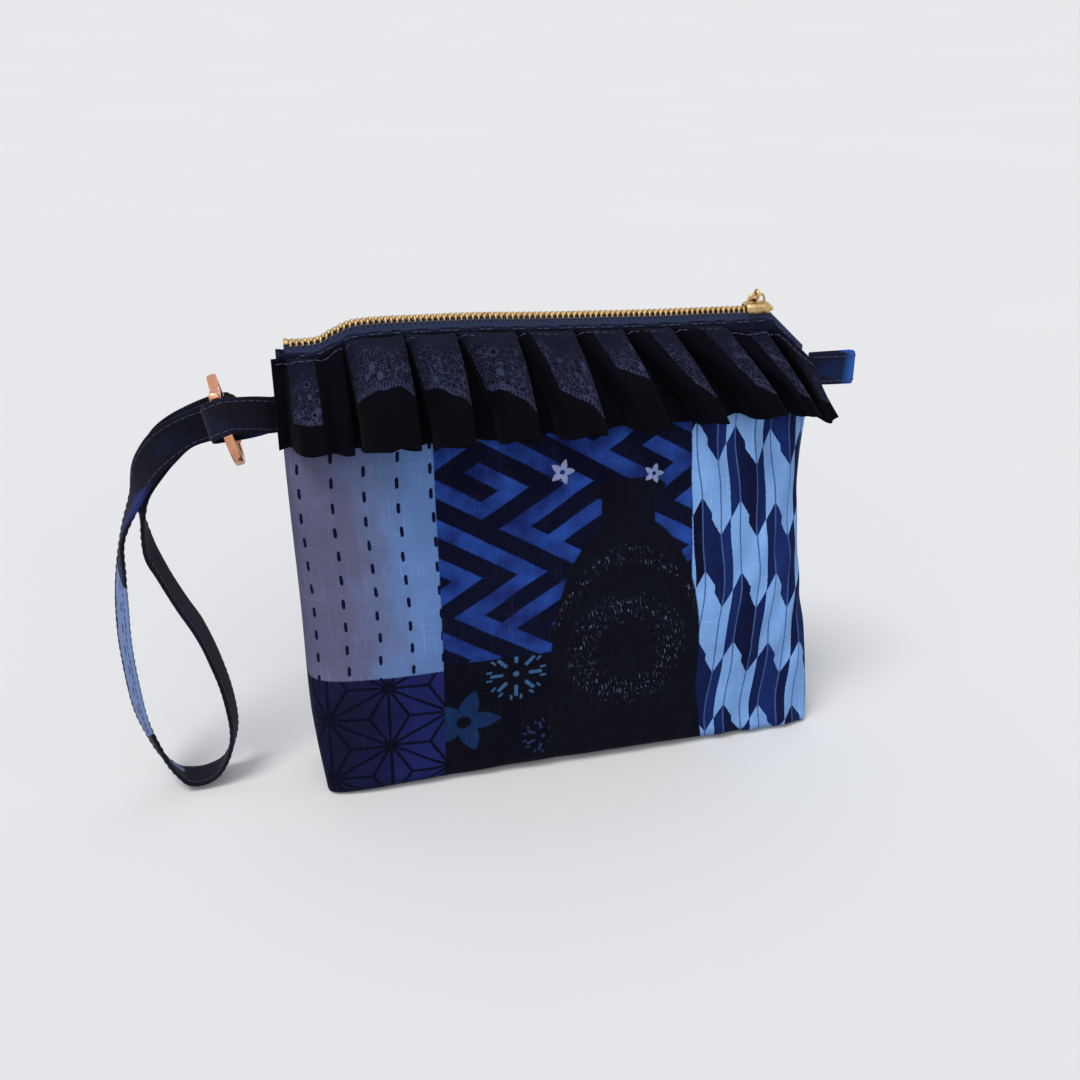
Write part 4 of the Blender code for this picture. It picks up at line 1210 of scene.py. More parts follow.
@dataclass(frozen=True)
class EyeletCotton(Finish):
    """Navy cotton with eyelet embroidery: ringed holes and scrolls that thicken towards a fringed edge.

    Below the edge the longer frill shows, plain and painted nearly black as shade.

    Attributes:
        drop: length of the trim in mm, from seam to edge.
    """

    drop: float

    def shade(self, net: Net) -> dict[str, Value]:
        """Values of the shader's inputs.

        Args:
            net: the material's network.

        Returns:
            The values by name.
        """
        x, y = net.cloth()
        down = -1.0 * y
        slub = net.use(Pattern.SLUB, x, y, Threads=2.6)
        spots = 0.25
        spot = net.cells(x * spots, y * spots, 0.85) / spots
        hole = net.inside(spot - 0.55, 0.22)
        rim = net.inside(abs(spot - 0.95) - 0.34, 0.22)
        curl = net.fog(x, y, 0.42, 0.42, detail=0.0)
        swirl = net.noise(net.vector(x * 0.75 + 9.0, y * 0.75), 1.0, 0.0)
        small = net.inside(abs(swirl - 0.5) - 0.035, 0.035)
        scroll = net.most(net.inside(abs(curl - 0.5) - 0.030, 0.03), small)
        knots = net.inside(net.cells(x * 1.1, y * 1.1, 0.9) - 0.32, 0.15)
        dense = net.clamp((down - 6.0 + 2.5 * net.sine(x * 0.42)) / 8.0)
        hem = net.inside(abs(down - self.drop + 1.0) - 0.9, 0.3)
        ridge = hem * (0.45 + 0.55 * net.sine(x * 5.2 + down * 2.2))
        sewn = net.most(net.most(scroll, rim) * dense, knots * net.clamp((down - 11.0) / 7.0))
        trim = net.inside(down - self.drop, 0.25)
        thread = net.clamp(net.most(sewn, ridge)) * (1.0 - hole) * trim
        pits = net.inside(net.cells(x * 0.9 + 3.0, y * 0.9, 0.9) - 0.30, 0.14)
        gap = net.most(hole, pits * 0.8 * (1.0 - thread)) * dense * trim
        relief = thread + slub["Height"] * 0.25 - gap * 0.8 + trim * 0.6
        ground = net.blend(0.5 * slub["Tint"], tone(20, 21, 37), tone(28, 30, 50))
        lit = net.blend(thread * 0.85, ground, tone(54, 58, 86))
        # The eyelet holes and the pits are painted near black: painted shade seen through them
        lit = net.blend(gap, lit, tone(4, 4, 8))
        # Below the trim's edge the cloth is painted near black: painted shade
        colour = net.blend(trim, tone(7, 6, 12), lit)
        return dict(Base_Color=colour, Roughness=0.9 - 0.2 * thread, Normal=net.bump(relief, 0.85, 0.00055),
                    Sheen_Weight=0.01, Sheen_Roughness=0.4, Specular_IOR_Level=0.05)


@dataclass(frozen=True)
class StrapCotton(Finish):
    """Strap cloth cut from the print: navy for most of its length, with blue and one pale dashed stretch.

    Attributes:
        bright: whether it is the bluer cutting of the right tab.
    """

    bright: bool = False

    def shade(self, net: Net) -> dict[str, Value]:
        """Values of the shader's inputs.

        Args:
            net: the material's network.

        Returns:
            The values by name.
        """
        x, y = net.cloth()
        slub = net.use(Pattern.SLUB, x, y, Threads=2.1)
        blue = net.clamp((net.fog(x, y, 0.05, 0.12) - 0.50) * 9.0)
        colour = self.tab(net, x, blue) if self.bright else self.strap(net, x, y, blue)
        colour = net.blend(0.6 * slub["Tint"], colour, colour, "ADD")
        colour = net.blend(0.03 * slub["Tint"], colour, tone(110, 122, 160))
        return dict(Base_Color=colour, Roughness=0.86, Normal=net.bump(slub["Height"], 0.5, 0.0002),
                    Sheen_Weight=0.04, Sheen_Roughness=0.5, Specular_IOR_Level=0.12)

    def tab(self, net: Net, x: Wire, blue: Wire) -> Wire:
        """Colour of the right tab: navy, and bright blue round its fold, 20 mm along."""
        fold = net.inside(abs(x - 20.0) - 5.5, 4.0)
        return net.blend(fold, net.blend(blue, tone(11, 17, 40), tone(18, 30, 68)), tone(42, 90, 170))

    def strap(self, net: Net, x: Wire, y: Wire, blue: Wire) -> Wire:
        """Colour of the strap, with its bluer and its pale stretches at their places in mm along it.

        Args:
            net: the material's network.
            x: place along the strap.
            y: place across it.
            blue: where the cloth is bluer.

        Returns:
            The colour.
        """
        fork = net.inside(abs(x - 66.0) - 18.0, 10.0)
        colour = net.blend(blue, tone(10, 10, 21), net.blend(fork, tone(15, 17, 36), tone(28, 36, 92)))
        pale = net.inside(abs(x - 121.5) - 35.5 - y * 0.5, 0.6) * net.inside(y - 4.0, 0.6)
        patch = net.inside(abs(x - 176.0) - 4.0, 0.6) * net.inside(abs(y - 3.0) - 2.6, 0.6)
        dash = net.inside(net.most(abs(net.wrap(x, 9.0)) - 1.9, abs(net.wrap(y + 2.0, 6.0)) - 0.55), 0.3)
        light = net.blend(dash, tone(112, 134, 180), tone(26, 32, 70))
        return net.blend(net.most(pale, patch), colour, light)


@dataclass(frozen=True)
class RibbedTape(Finish):
    """Zip tape: fine upright ribs with a herringbone between them.

    Attributes:
        ribs: ribs per mm, and the herringbone's width in mm.
    """

    ribs: float = 1.6

    def shade(self, net: Net) -> dict[str, Value]:
        """Values of the shader's inputs.

        Args:
            net: the material's network.

        Returns:
            The values by name.
        """
        x, y = net.cloth()
        turn = 2.0 * math.pi
        rib = 0.5 + 0.5 * net.sine(y * turn * self.ribs)
        slant = 0.5 + 0.5 * net.sine((x + abs(net.wrap(y, self.ribs))) * turn * 2.2)
        lint = net.fog(x, y, 0.4, 0.8, detail=3.0)
        height = rib * 0.5 + slant * 0.5
        # The colour is partly random lint and partly painted: lighter on the raised ribs and darker in the
        # grooves, painted highlight and shade
        colour = net.blend(net.clamp(height * 0.6 + lint * 0.4), tone(30, 35, 58), tone(62, 72, 106))
        return dict(Base_Color=colour, Roughness=0.8, Normal=net.bump(height, 0.6, 0.00018),
                    Sheen_Weight=0.05, Specular_IOR_Level=0.15)


@dataclass(frozen=True)
class Metal(Finish):
    """Polished metal with fine scratches, cloudy tarnish and worn, brighter spots.

    Attributes:
        colour: screen colour.
        dull: screen colour of the tarnish.
        rough: roughness where clean.
    """

    colour: tuple[float, float, float]
    dull: tuple[float, float, float]
    rough: float

    def shade(self, net: Net) -> dict[str, Value]:
        """Values of the shader's inputs.

        Args:
            net: the material's network.

        Returns:
            The values by name.
        """
        place = net.object_place()
        x, y, z = net.split(place)
        cloud = net.noise(place, 320.0, 4.0, 0.6)
        scratch = net.noise(net.vector(x * 900.0, y * 9000.0, z * 5000.0), 1.0, 2.0)
        colour = net.blend(net.clamp((cloud - 0.45) * 1.8), tone(*self.colour), tone(*self.dull))
        rough = net.clamp(self.rough + 0.25 * (cloud - 0.4) + 0.10 * (scratch - 0.5))
        return dict(Base_Color=colour, Metallic=1.0, Roughness=rough,
                    Normal=net.bump(scratch * 0.3 + cloud * 0.7, 0.12, 0.0001))


@dataclass(frozen=True)
class SewingThread(Finish):
    """Twisted cotton thread.

    Attributes:
        colour: screen colour.
    """

    colour: tuple[float, float, float]

    def shade(self, net: Net) -> dict[str, Value]:
        """Values of the shader's inputs.

        Args:
            net: the material's network.

        Returns:
            The values by name.
        """
        x, y = net.cloth()
        twist = 0.5 + 0.5 * net.sine((x * 2.2 + y) * 2.0 * math.pi)
        # A lighter copy of the thread's colour on the crests of the twist: painted highlight
        light = tuple(min(255.0, c * 1.5 + 18.0) for c in self.colour)
        return dict(Base_Color=net.blend(twist, tone(*self.colour), tone(*light)), Roughness=0.7,
                    Normal=net.bump(twist, 0.5, 0.00008))


@dataclass(frozen=True)
class Ground(Finish):
    """Plain pale floor with a very faint mottle, which throws less light on things than it shows."""

    def shade(self, net: Net) -> dict[str, Value]:
        """Values of the shader's inputs.

        Args:
            net: the material's network.

        Returns:
            The values by name.
        """
        cloud = net.noise(net.object_place(), 3.0, 3.0)
        pale = net.blend(cloud, tone(220, 220, 219), tone(224, 224, 223))
        colour = net.blend(net.seen(), tone(160, 160, 162), pale)
        return dict(Base_Color=colour, Roughness=0.95, Specular_IOR_Level=0.05)


# Pieces


def cloth_shell(outer: Array, inner: Array, cloth: Array, skin: Skin) -> None:
    """Adds a closed sheet between two grids of the same layout: faces, back and rims.

    Args:
        outer: grid of the outer face.
        inner: grid of the inner face.
        cloth: grid of cloth places.
        skin: mesh to add to.
    """
    skin.grid(outer, cloth)
    skin.grid(inner, cloth, flip=True)
    for a, b, c in ((outer[0], inner[0], cloth[0]), (inner[-1], outer[-1], cloth[-1]),
                    (inner[:, 0], outer[:, 0], cloth[:, 0]), (outer[:, -1], inner[:, -1], cloth[:, -1])):
        skin.grid(np.stack([b, a]), np.stack([c, c]))


def across_and_face(path: Array, wide: Array, closed: bool) -> tuple[Array, Array]:
    """Directions of a strip's width and of its face at each point of its path.

    Args:
        path: points.
        wide: rough direction of the width at each point.
        closed: whether the path is a loop.

    Returns:
        Both directions, square to the path and to each other.
    """
    along = ways(path, closed)
    across = square_to(wide, along)
    return across, np.cross(along, across)


def bar_along(path: Array, wide: Array, width: Array, thick: Array, closed: bool,
              sides: int) -> tuple[Array, Array]:
    """Flat cloth strip along a path, with rounded edges.

    The section is the superellipse |a/half width|^4 + |b/half thickness|^2.6 = 1, turned so that its long
    side follows the given direction.

    Args:
        path: points.
        wide: direction of the width at each point.
        width: width at each point.
        thick: thickness at each point.
        closed: whether the path is a loop.
        sides: points across the width.

    Returns:
        Grid of points, and their cloth places in metres.
    """
    across, face = across_and_face(path, wide, closed)
    a, b = rounded(full_turn(4 * sides), 0.5, 0.77)
    half = (np.broadcast_to(width, (len(path),)) / 2)[:, None]
    deep = (np.broadcast_to(thick, (len(path),)) / 2)[:, None]
    grid = (path[:, None, :] + (half * a)[:, :, None] * across[:, None, :]
            + (deep * b)[:, :, None] * face[:, None, :])
    run = run_along(path)
    cloth = np.stack([np.broadcast_to(run[:, None], half.shape[:1] + a.shape), half * a], axis=-1)
    return grid, cloth


@dataclass(frozen=True)
class Stitch:
    """Size of a seam's stitches.

    Attributes:
        pitch: distance from one stitch to the next.
        length: length of a stitch.
        radius: radius of the thread.
    """

    pitch: float
    length: float
    radius: float


def stitches(skin: Skin, path: Array, out: Array, size: Stitch) -> None:
    """Adds a row of stitches: short tubes that dive into the cloth at both ends.

    Args:
        skin: mesh to add to.
        path: points of the seam.
        out: direction off the cloth at each point.
        size: size of the stitches.
    """
    run = run_along(path)
    starts = np.arange(size.pitch / 2, run[-1] - size.length, size.pitch)
    t = np.linspace(0.0, 1.0, 6)
    for start in starts:
        at = start + t * size.length
        spot = np.stack([np.interp(at, run, path[:, k]) for k in range(3)], axis=1)
        lift = np.stack([np.interp(at, run, out[:, k]) for k in range(3)], axis=1)
        rise = size.radius * (1.3 * np.sin(math.pi * t) - 0.55)
        grid = tube_along(spot + lift * rise[:, None], size.radius, 6)
        turn = np.linspace(0.0, 2.0 * math.pi * size.radius, 6)
        cloth = np.stack(np.broadcast_arrays(at[:, None], turn[None, :]), axis=-1)
        skin.grid(grid, cloth, around=True)


@dataclass
class Pouch:
    """Printed panels, plain bands and inner bag.

    Attributes:
        columns: points across the middle of a half outline.
        corners: points round each end of it.
        rows: levels up a panel.
        base_rows: rows under the base.
        band_rows: levels up a band.
    """

    columns: int = 150
    corners: int = 26
    rows: int = 120
    base_rows: int = 14
    band_rows: int = 26

    def wall(self, name: str, finish: bpy.types.Material, back: bool, low: float, high: float, rows: int,
             base_rows: int) -> bpy.types.Object:
        """One cloth wall as a closed sheet.

        Args:
            name: object name.
            finish: material.
            back: whether it is on the back.
            low: lowest level.
            high: highest level.
            rows: levels.
            base_rows: rows under the base.

        Returns:
            The object.
        """
        places = shares(self.columns, self.corners)
        heights = low + (high - low) * np.linspace(0.0, 1.0, rows) ** (1.25 if base_rows else 1.0)
        outer, cloth = half_wall(places, heights, 0.0, SEAM_GAP / 2, base_rows, back)
        inner, _ = half_wall(places, np.maximum(heights, CLOTH if base_rows else 0.0), CLOTH, SEAM_GAP / 2,
                             base_rows, back)
        skin = Skin()
        cloth_shell(outer, inner, cloth, skin)
        return skin.solid(name, [finish], merge=1e-6)

    def build(self) -> None:
        """Makes the four walls and the inner bag."""
        front = PrintedCotton("front_print").make()
        back = PrintedCotton("back_print", shift=7.0, centre=False).make()
        navy = PlainCotton("navy_cotton", (19, 21, 40), (44, 49, 78)).make()
        inside = PlainCotton("lining_cotton", (40, 48, 86), (78, 88, 128), 3.0, 0.85).make()
        for name, finish, behind, node in (("printed_front", front, False, "front_panel"),
                                           ("printed_back", back, True, "back_panel")):
            wall = self.wall(name, finish, behind, 0.0, PANEL_TOP, self.rows, self.base_rows)
            finish_piece(wall, "pouch", "printed_cotton", node)
        for name, behind, node in (("plain_front", False, "front_band"), ("plain_back", True, "back_band")):
            wall = self.wall(name, navy, behind, BAND_BOTTOM, BAND_TOP, self.band_rows, 0)
            finish_piece(wall, "pouch", "navy_cotton", node)
        finish_piece(self.bag(inside), "pouch", "lining_cotton", "lining")

    def bag(self, finish: bpy.types.Material) -> bpy.types.Object:
        """Inner bag: the same form as the walls, inside them and open at the top.

        Args:
            finish: material.

        Returns:
            The object.
        """
        places = shares(60, 10)
        base = CLOTH + LINING_STANDOFF
        heights = np.maximum(LINING_TOP * np.linspace(0.0, 1.0, 40) ** 1.3, base)
        skin = Skin()
        for back in (False, True):
            outer, cloth = half_wall(places, heights, base, 0.0, 6, back, 0.6)
            inner, _ = half_wall(places, heights, base + 0.0008, 0.0, 6, back, 0.6)
            skin.grid(outer, cloth)
            skin.grid(inner, cloth, flip=True)
            skin.grid(np.stack([inner[-1], outer[-1]]), np.stack([cloth[-1], cloth[-1]]))
        return skin.solid("inner_bag", [finish], merge=2e-5)


HOME = Vector((0.0, 0.0, 0.0))


def finish_piece(piece: bpy.types.Object, body: str, slot: str, *nodes: str) -> None:
    """Moves a piece's mesh into the frame, lets it ride, and logs it.

    Args:
        piece: the object.
        body: body that it moves with.
        slot: not used.
        nodes: solids that it stands for.
    """
    if body == "pouch":
        places = np.empty(len(piece.data.vertices) * 3, dtype=np.float32)
        piece.data.vertices.foreach_get("co", places)
        grid = places.reshape(-1, 3)
        grid[:, 2] += top_lift(grid[:, 0], grid[:, 2])
        piece.data.vertices.foreach_set("co", places)
    piece.data.transform(Matrix.Translation(HOME))
    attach(piece, body)
    if nodes:
        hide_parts(*nodes)
    faces = len(piece.data.polygons)
    log.info("%s on %s: %d faces, for %s", piece.name, body, faces, ", ".join(nodes) or "trim")


@dataclass
class Zip:
    """Tapes, teeth, stops, seam stitching, slider and pull.

    Attributes:
        brass: finish of the metal.
        tape: finish of the tapes.
        thread: finish of the seams.
        tape_steps: points along a tape.
    """

    brass: bpy.types.Material
    tape: bpy.types.Material
    thread: bpy.types.Material
    tape_steps: int = 160

    def tape_grid(self, side: float) -> tuple[Array, Array]:
        """Closed section of one tape along its length.

        The section runs from the cord at the teeth down the cloth to the tape's lower edge and back inside.

        Args:
            side: -1 for the front tape, 1 for the back one.

        Returns:
            Grid of points and their cloth places.
        """
        x = np.linspace(TAPE_LEFT, TAPE_RIGHT, self.tape_steps)
        left, right = (x - TAPE_LEFT) / 0.003, (TAPE_RIGHT - x) / (TAPE_RIGHT - END_SLOPE_START)
        ends = np.clip(np.minimum(left, right), 0.0, 1.0)
        taper = TAPE_END_TAPER + (1.0 - TAPE_END_TAPER) * ends
        down = end_drop(x, np.full_like(x, BAND_TOP))
        wide, foot = TOOTH_HALF * taper, (TOOTH_HALF + TAPE_SPREAD) * taper
        neck = CHAIN_BASE - CORD_HEIGHT
        inner = np.full_like(x, SEAM_GAP / 2)
        thick = TAPE_THICKNESS
        rows = [
            (inner, CHAIN_BASE), (wide * 0.5, CHAIN_BASE + 0.00005), (wide * 0.92, CHAIN_BASE - 0.0001),
            (wide, CHAIN_BASE - 0.0005), (wide * 0.93, neck - 0.0003),
            (wide * 0.7 + foot * 0.3, neck - 0.0030), (wide * 0.35 + foot * 0.65, neck - 0.0062),
            (foot, TAPE_BOTTOM), (foot - thick, TAPE_BOTTOM), (wide - thick, neck - thick * 1.5),
            (inner, neck - 0.0002),
        ]
        y = np.stack([r[0] for r in rows], axis=1)
        z = np.stack([np.full_like(x, r[1]) for r in rows], axis=1) - down[:, None]
        grid = np.stack([np.broadcast_to(x[:, None], y.shape), side * y, z], axis=-1)
        run = run_along(grid[self.tape_steps // 2])
        cloth = np.stack(np.broadcast_arrays(x[:, None], run[None, :]), axis=-1)
        return grid, cloth

    def teeth(self, side: float, shift: float) -> Array:
        """Rows of points of every tooth on one tape.

        A tooth is a rounded block of eight rings along its length across the tape: a wide foot that grips the
        cord, a waist, and a head that reaches over the middle.

        Args:
            side: -1 for the front tape, 1 for the back one.
            shift: offset along the zip.

        Returns:
            Array of teeth by rings by points by 3.
        """
        starts = CHAIN_START + shift + TOOTH_HALF_LENGTH + np.arange(TOOTH_COUNT) * TOOTH_PITCH
        reach = np.array([-0.0023, -0.00225, -0.0021, -0.0010, -0.0003, 0.00025, 0.00062, 0.0007])
        half_x = np.array([0.00020, 0.00040, 0.00046, 0.00046, 0.00036, 0.00050, 0.00046, 0.00022])
        top = np.array([0.0009, 0.0014, 0.0017, 0.00195, 0.00185, 0.0020, 0.0018, 0.0012])
        low = np.array([0.0, -0.0004, -0.0005, -0.0002, 0.0003, 0.0003, 0.0004, 0.0009])
        cx, cz = rounded(full_turn(12) + math.pi / 12, 0.6, 0.6)
        x = half_x[:, None] * cx[None, :]
        middle, half = (top + low) / 2, (top - low) / 2
        z = CHAIN_BASE + middle[:, None] + half[:, None] * cz[None, :]
        y = side * -reach[:, None] + 0.0 * x
        ring = np.stack([x, y, z], axis=-1)
        return ring[None] + np.stack([starts, 0 * starts, 0 * starts], axis=-1)[:, None, None, :]

    def build(self) -> None:
        """Makes the tapes with their teeth, the stops and the seams' stitches."""
        for name, side, shift, node in (("tape_front", -1.0, 0.0, "zip_tape_front"),
                                        ("tape_back", 1.0, TOOTH_PITCH / 2, "zip_tape_back")):
            skin = Skin()
            grid, cloth = self.tape_grid(side)
            skin.grid(grid, cloth, around=True)
            skin.fans(np.stack([grid[0], grid[-1][::-1]]))
            teeth = self.teeth(side, shift)
            for tooth in teeth:
                skin.grid(tooth, around=True, slot=1)
            skin.fans(teeth[:, 0], slot=1)
            skin.fans(teeth[:, -1][:, ::-1], slot=1)
            piece = skin.solid(name, [self.tape, self.brass], merge=1e-7)
            finish_piece(piece, "pouch", "zip_tape", node)
        self.seams()
        self.stops()
        self.slider()
        self.pull()

    def seams(self) -> None:
        """Stitches through the tape and the cloth, front and back."""
        for name, side in (("seam_front", -1.0), ("seam_back", 1.0)):
            x = np.linspace(SEAM_LEFT, SEAM_RIGHT, 400)
            z = np.full_like(x, BAND_TOP - SEAM_INSET)
            path = np.stack([x, side * (body_depth(x, z) + 0.0001), z - end_drop(x, z)], axis=1)
            out = np.broadcast_to(np.array([0.0, side, 0.12]), path.shape)
            skin = Skin()
            stitches(skin, path, out, Stitch(0.0030, 0.0023, 0.00022))
            finish_piece(skin.solid(name, [self.thread]), "pouch", "navy_cotton")

    def block(self, name: str, low: Vector, high: Vector, node: str) -> None:
        """Small pressed block of metal with rounded edges, in a solid's box.

        Args:
            name: object name.
            low: lower corner of the box.
            high: upper corner of the box.
            node: solid that it stands for.
        """
        low, high = np.array(low), np.array(high)
        t = np.array([0.0, 0.10, 0.3, 0.7, 0.90, 1.0])[:, None]
        size = np.array([0.72, 0.95, 1.0, 1.0, 0.95, 0.72])[:, None]
        y, z = rounded(full_turn(20), 0.45, 0.45)
        shape = np.stack(np.broadcast_arrays(2.0 * t - 1.0, size * y, size * z), axis=-1)
        skin = Skin()
        skin.bar((low + high) / 2 + shape * (high - low) / 2)
        finish_piece(skin.solid(name, [self.brass], merge=1e-7), "pouch", "brass", node)

    def stops(self) -> None:
        """Bottom stop and the two top stops, in the boxes of their solids."""
        for name, node in (("stop_bottom", "bottom_stop"), ("stop_top_front", "top_stop_front"),
                           ("stop_top_back", "top_stop_back")):
            low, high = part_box(node)
            self.block(name, low - HOME, high - HOME, node)

    def slider(self) -> None:
        """Slider: a crowned channel over the chain, waisted in plan, with a round-wire arch on top.

        A ring of its grid is the crown, a rounded half turn, then both legs and the inside of the channel.
        """
        inner, wall, base = TOOTH_HALF + 0.0003, 0.0008, CHAIN_BASE - 0.0008
        roof = CHAIN_BASE + TOOTH_HEIGHT + 0.0003
        top = roof + wall + 0.0003
        t = np.linspace(-1.0, 1.0, 41)
        slim = 0.0005 * np.abs(t) ** 6 + 0.0002 * (t > 0) * np.abs(t) ** 2
        sink = 0.0006 * np.abs(t) ** 8
        crown_y, crown_z = rounded(np.linspace(0.0, math.pi, 21), 0.55, 0.8)
        rings = []
        for at, cut, down in zip(t, slim, sink):
            wide = inner + wall - cut
            crown = np.stack([wide * crown_y, top - down - 0.0016 * (1.0 - crown_z)], axis=1)
            leg = np.array([[wide, base + 0.0003], [wide - 0.0003, base], [inner + 0.0001, base],
                            [inner, base + 0.0002], [inner, roof]])
            shape = np.concatenate([crown[::-1], leg, leg[::-1] * (-1.0, 1.0)])
            along = np.full((len(shape), 1), SLIDER_X + at * SLIDER_LENGTH / 2)
            rings.append(np.hstack([along, shape]))
        skin = Skin()
        skin.grid(np.stack(rings), around=True)
        for ring, flip in ((rings[0], True), (rings[-1], False)):
            near = ring.copy()
            near[:, 1] = np.clip(near[:, 1], -inner, inner)
            near[:, 2] = np.where(np.abs(ring[:, 1]) < inner, roof, np.minimum(near[:, 2], roof))
            skin.grid(np.stack([ring, near]), around=True, flip=flip)
        span, foot = 0.0032, top - 0.0003
        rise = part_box("slider_body")[1].z - HOME.z - ARCH_WIRE
        left = np.array([[-span - 0.0002, foot], [-span, foot + 0.0012], [-span + 0.0006, rise - 0.0004],
                         [-span + 0.0016, rise]])
        curve = np.concatenate([left, [[0.0, rise]], left[::-1] * (-1.0, 1.0)])
        points = np.stack([SLIDER_X + curve[:, 0], 0 * curve[:, 0], curve[:, 1]], axis=1)
        skin.grid(tube_along(curve_through(points, 40, False), ARCH_WIRE, 12), around=True)
        finish_piece(skin.solid("slider_shell", [self.brass], merge=1e-7), "slider", "brass", "slider_body")

    def pull(self) -> None:
        """Pull: an eye round the arch and a tongue with a raised rim, lying over the back of the slider."""
        axis = np.array([SLIDER_X, 0.0, PULL_AXIS_Z])
        reach = np.array([0.0, math.cos(PULL_REST), math.sin(PULL_REST)])
        across = np.array([0.0, -math.sin(PULL_REST), math.cos(PULL_REST)])
        side = np.array([1.0, 0.0, 0.0])
        r = np.linspace(PULL_WIDTH[0][0], PULL_WIDTH[-1][0], 60)
        half = ease(PULL_WIDTH, r)
        thick = np.interp(r, [0.0019, 0.004, 0.006], [0.00072, 0.0005, 0.00043])
        a, b = rounded(full_turn(28), 0.4, 0.6)
        field = smooth(0.0055, 0.0075, r) * smooth(0.0235, 0.022, r)
        inside = 1.0 - 0.28 * field[:, None] * (np.abs(a) < 0.72)[None, :]
        grid = (axis + r[:, None, None] * reach + (half[:, None] * a)[:, :, None] * side
                + (thick[:, None] * b * inside)[:, :, None] * across)
        skin = Skin()
        skin.bar(grid)
        turn = full_turn(36)
        ring = axis + 0.00160 * (np.cos(turn)[:, None] * reach + np.sin(turn)[:, None] * across)
        section = full_turn(12)
        outward = unit(ring - axis)
        eye = (ring[:, None, :] + (0.00050 * np.cos(section))[None, :, None] * outward[:, None, :]
               + (0.00052 * np.sin(section))[None, :, None] * side)
        skin.grid(eye, around=True, along=True)
        finish_piece(skin.solid("pull", [self.brass], merge=1e-7), "pull", "brass", "pull_tab")


Corner = tuple[float, float, float, float]


def lap_of(index: int) -> float:
    """How far the cloth folds back under one pleat: never under the flat stretch beside its face."""
    pitch = PLEAT_ENDS[index + 1] - PLEAT_ENDS[index]
    return min(PLEAT_OVERLAP, 0.85 * pitch * (1.0 - PLEAT_RECESSES[index]))


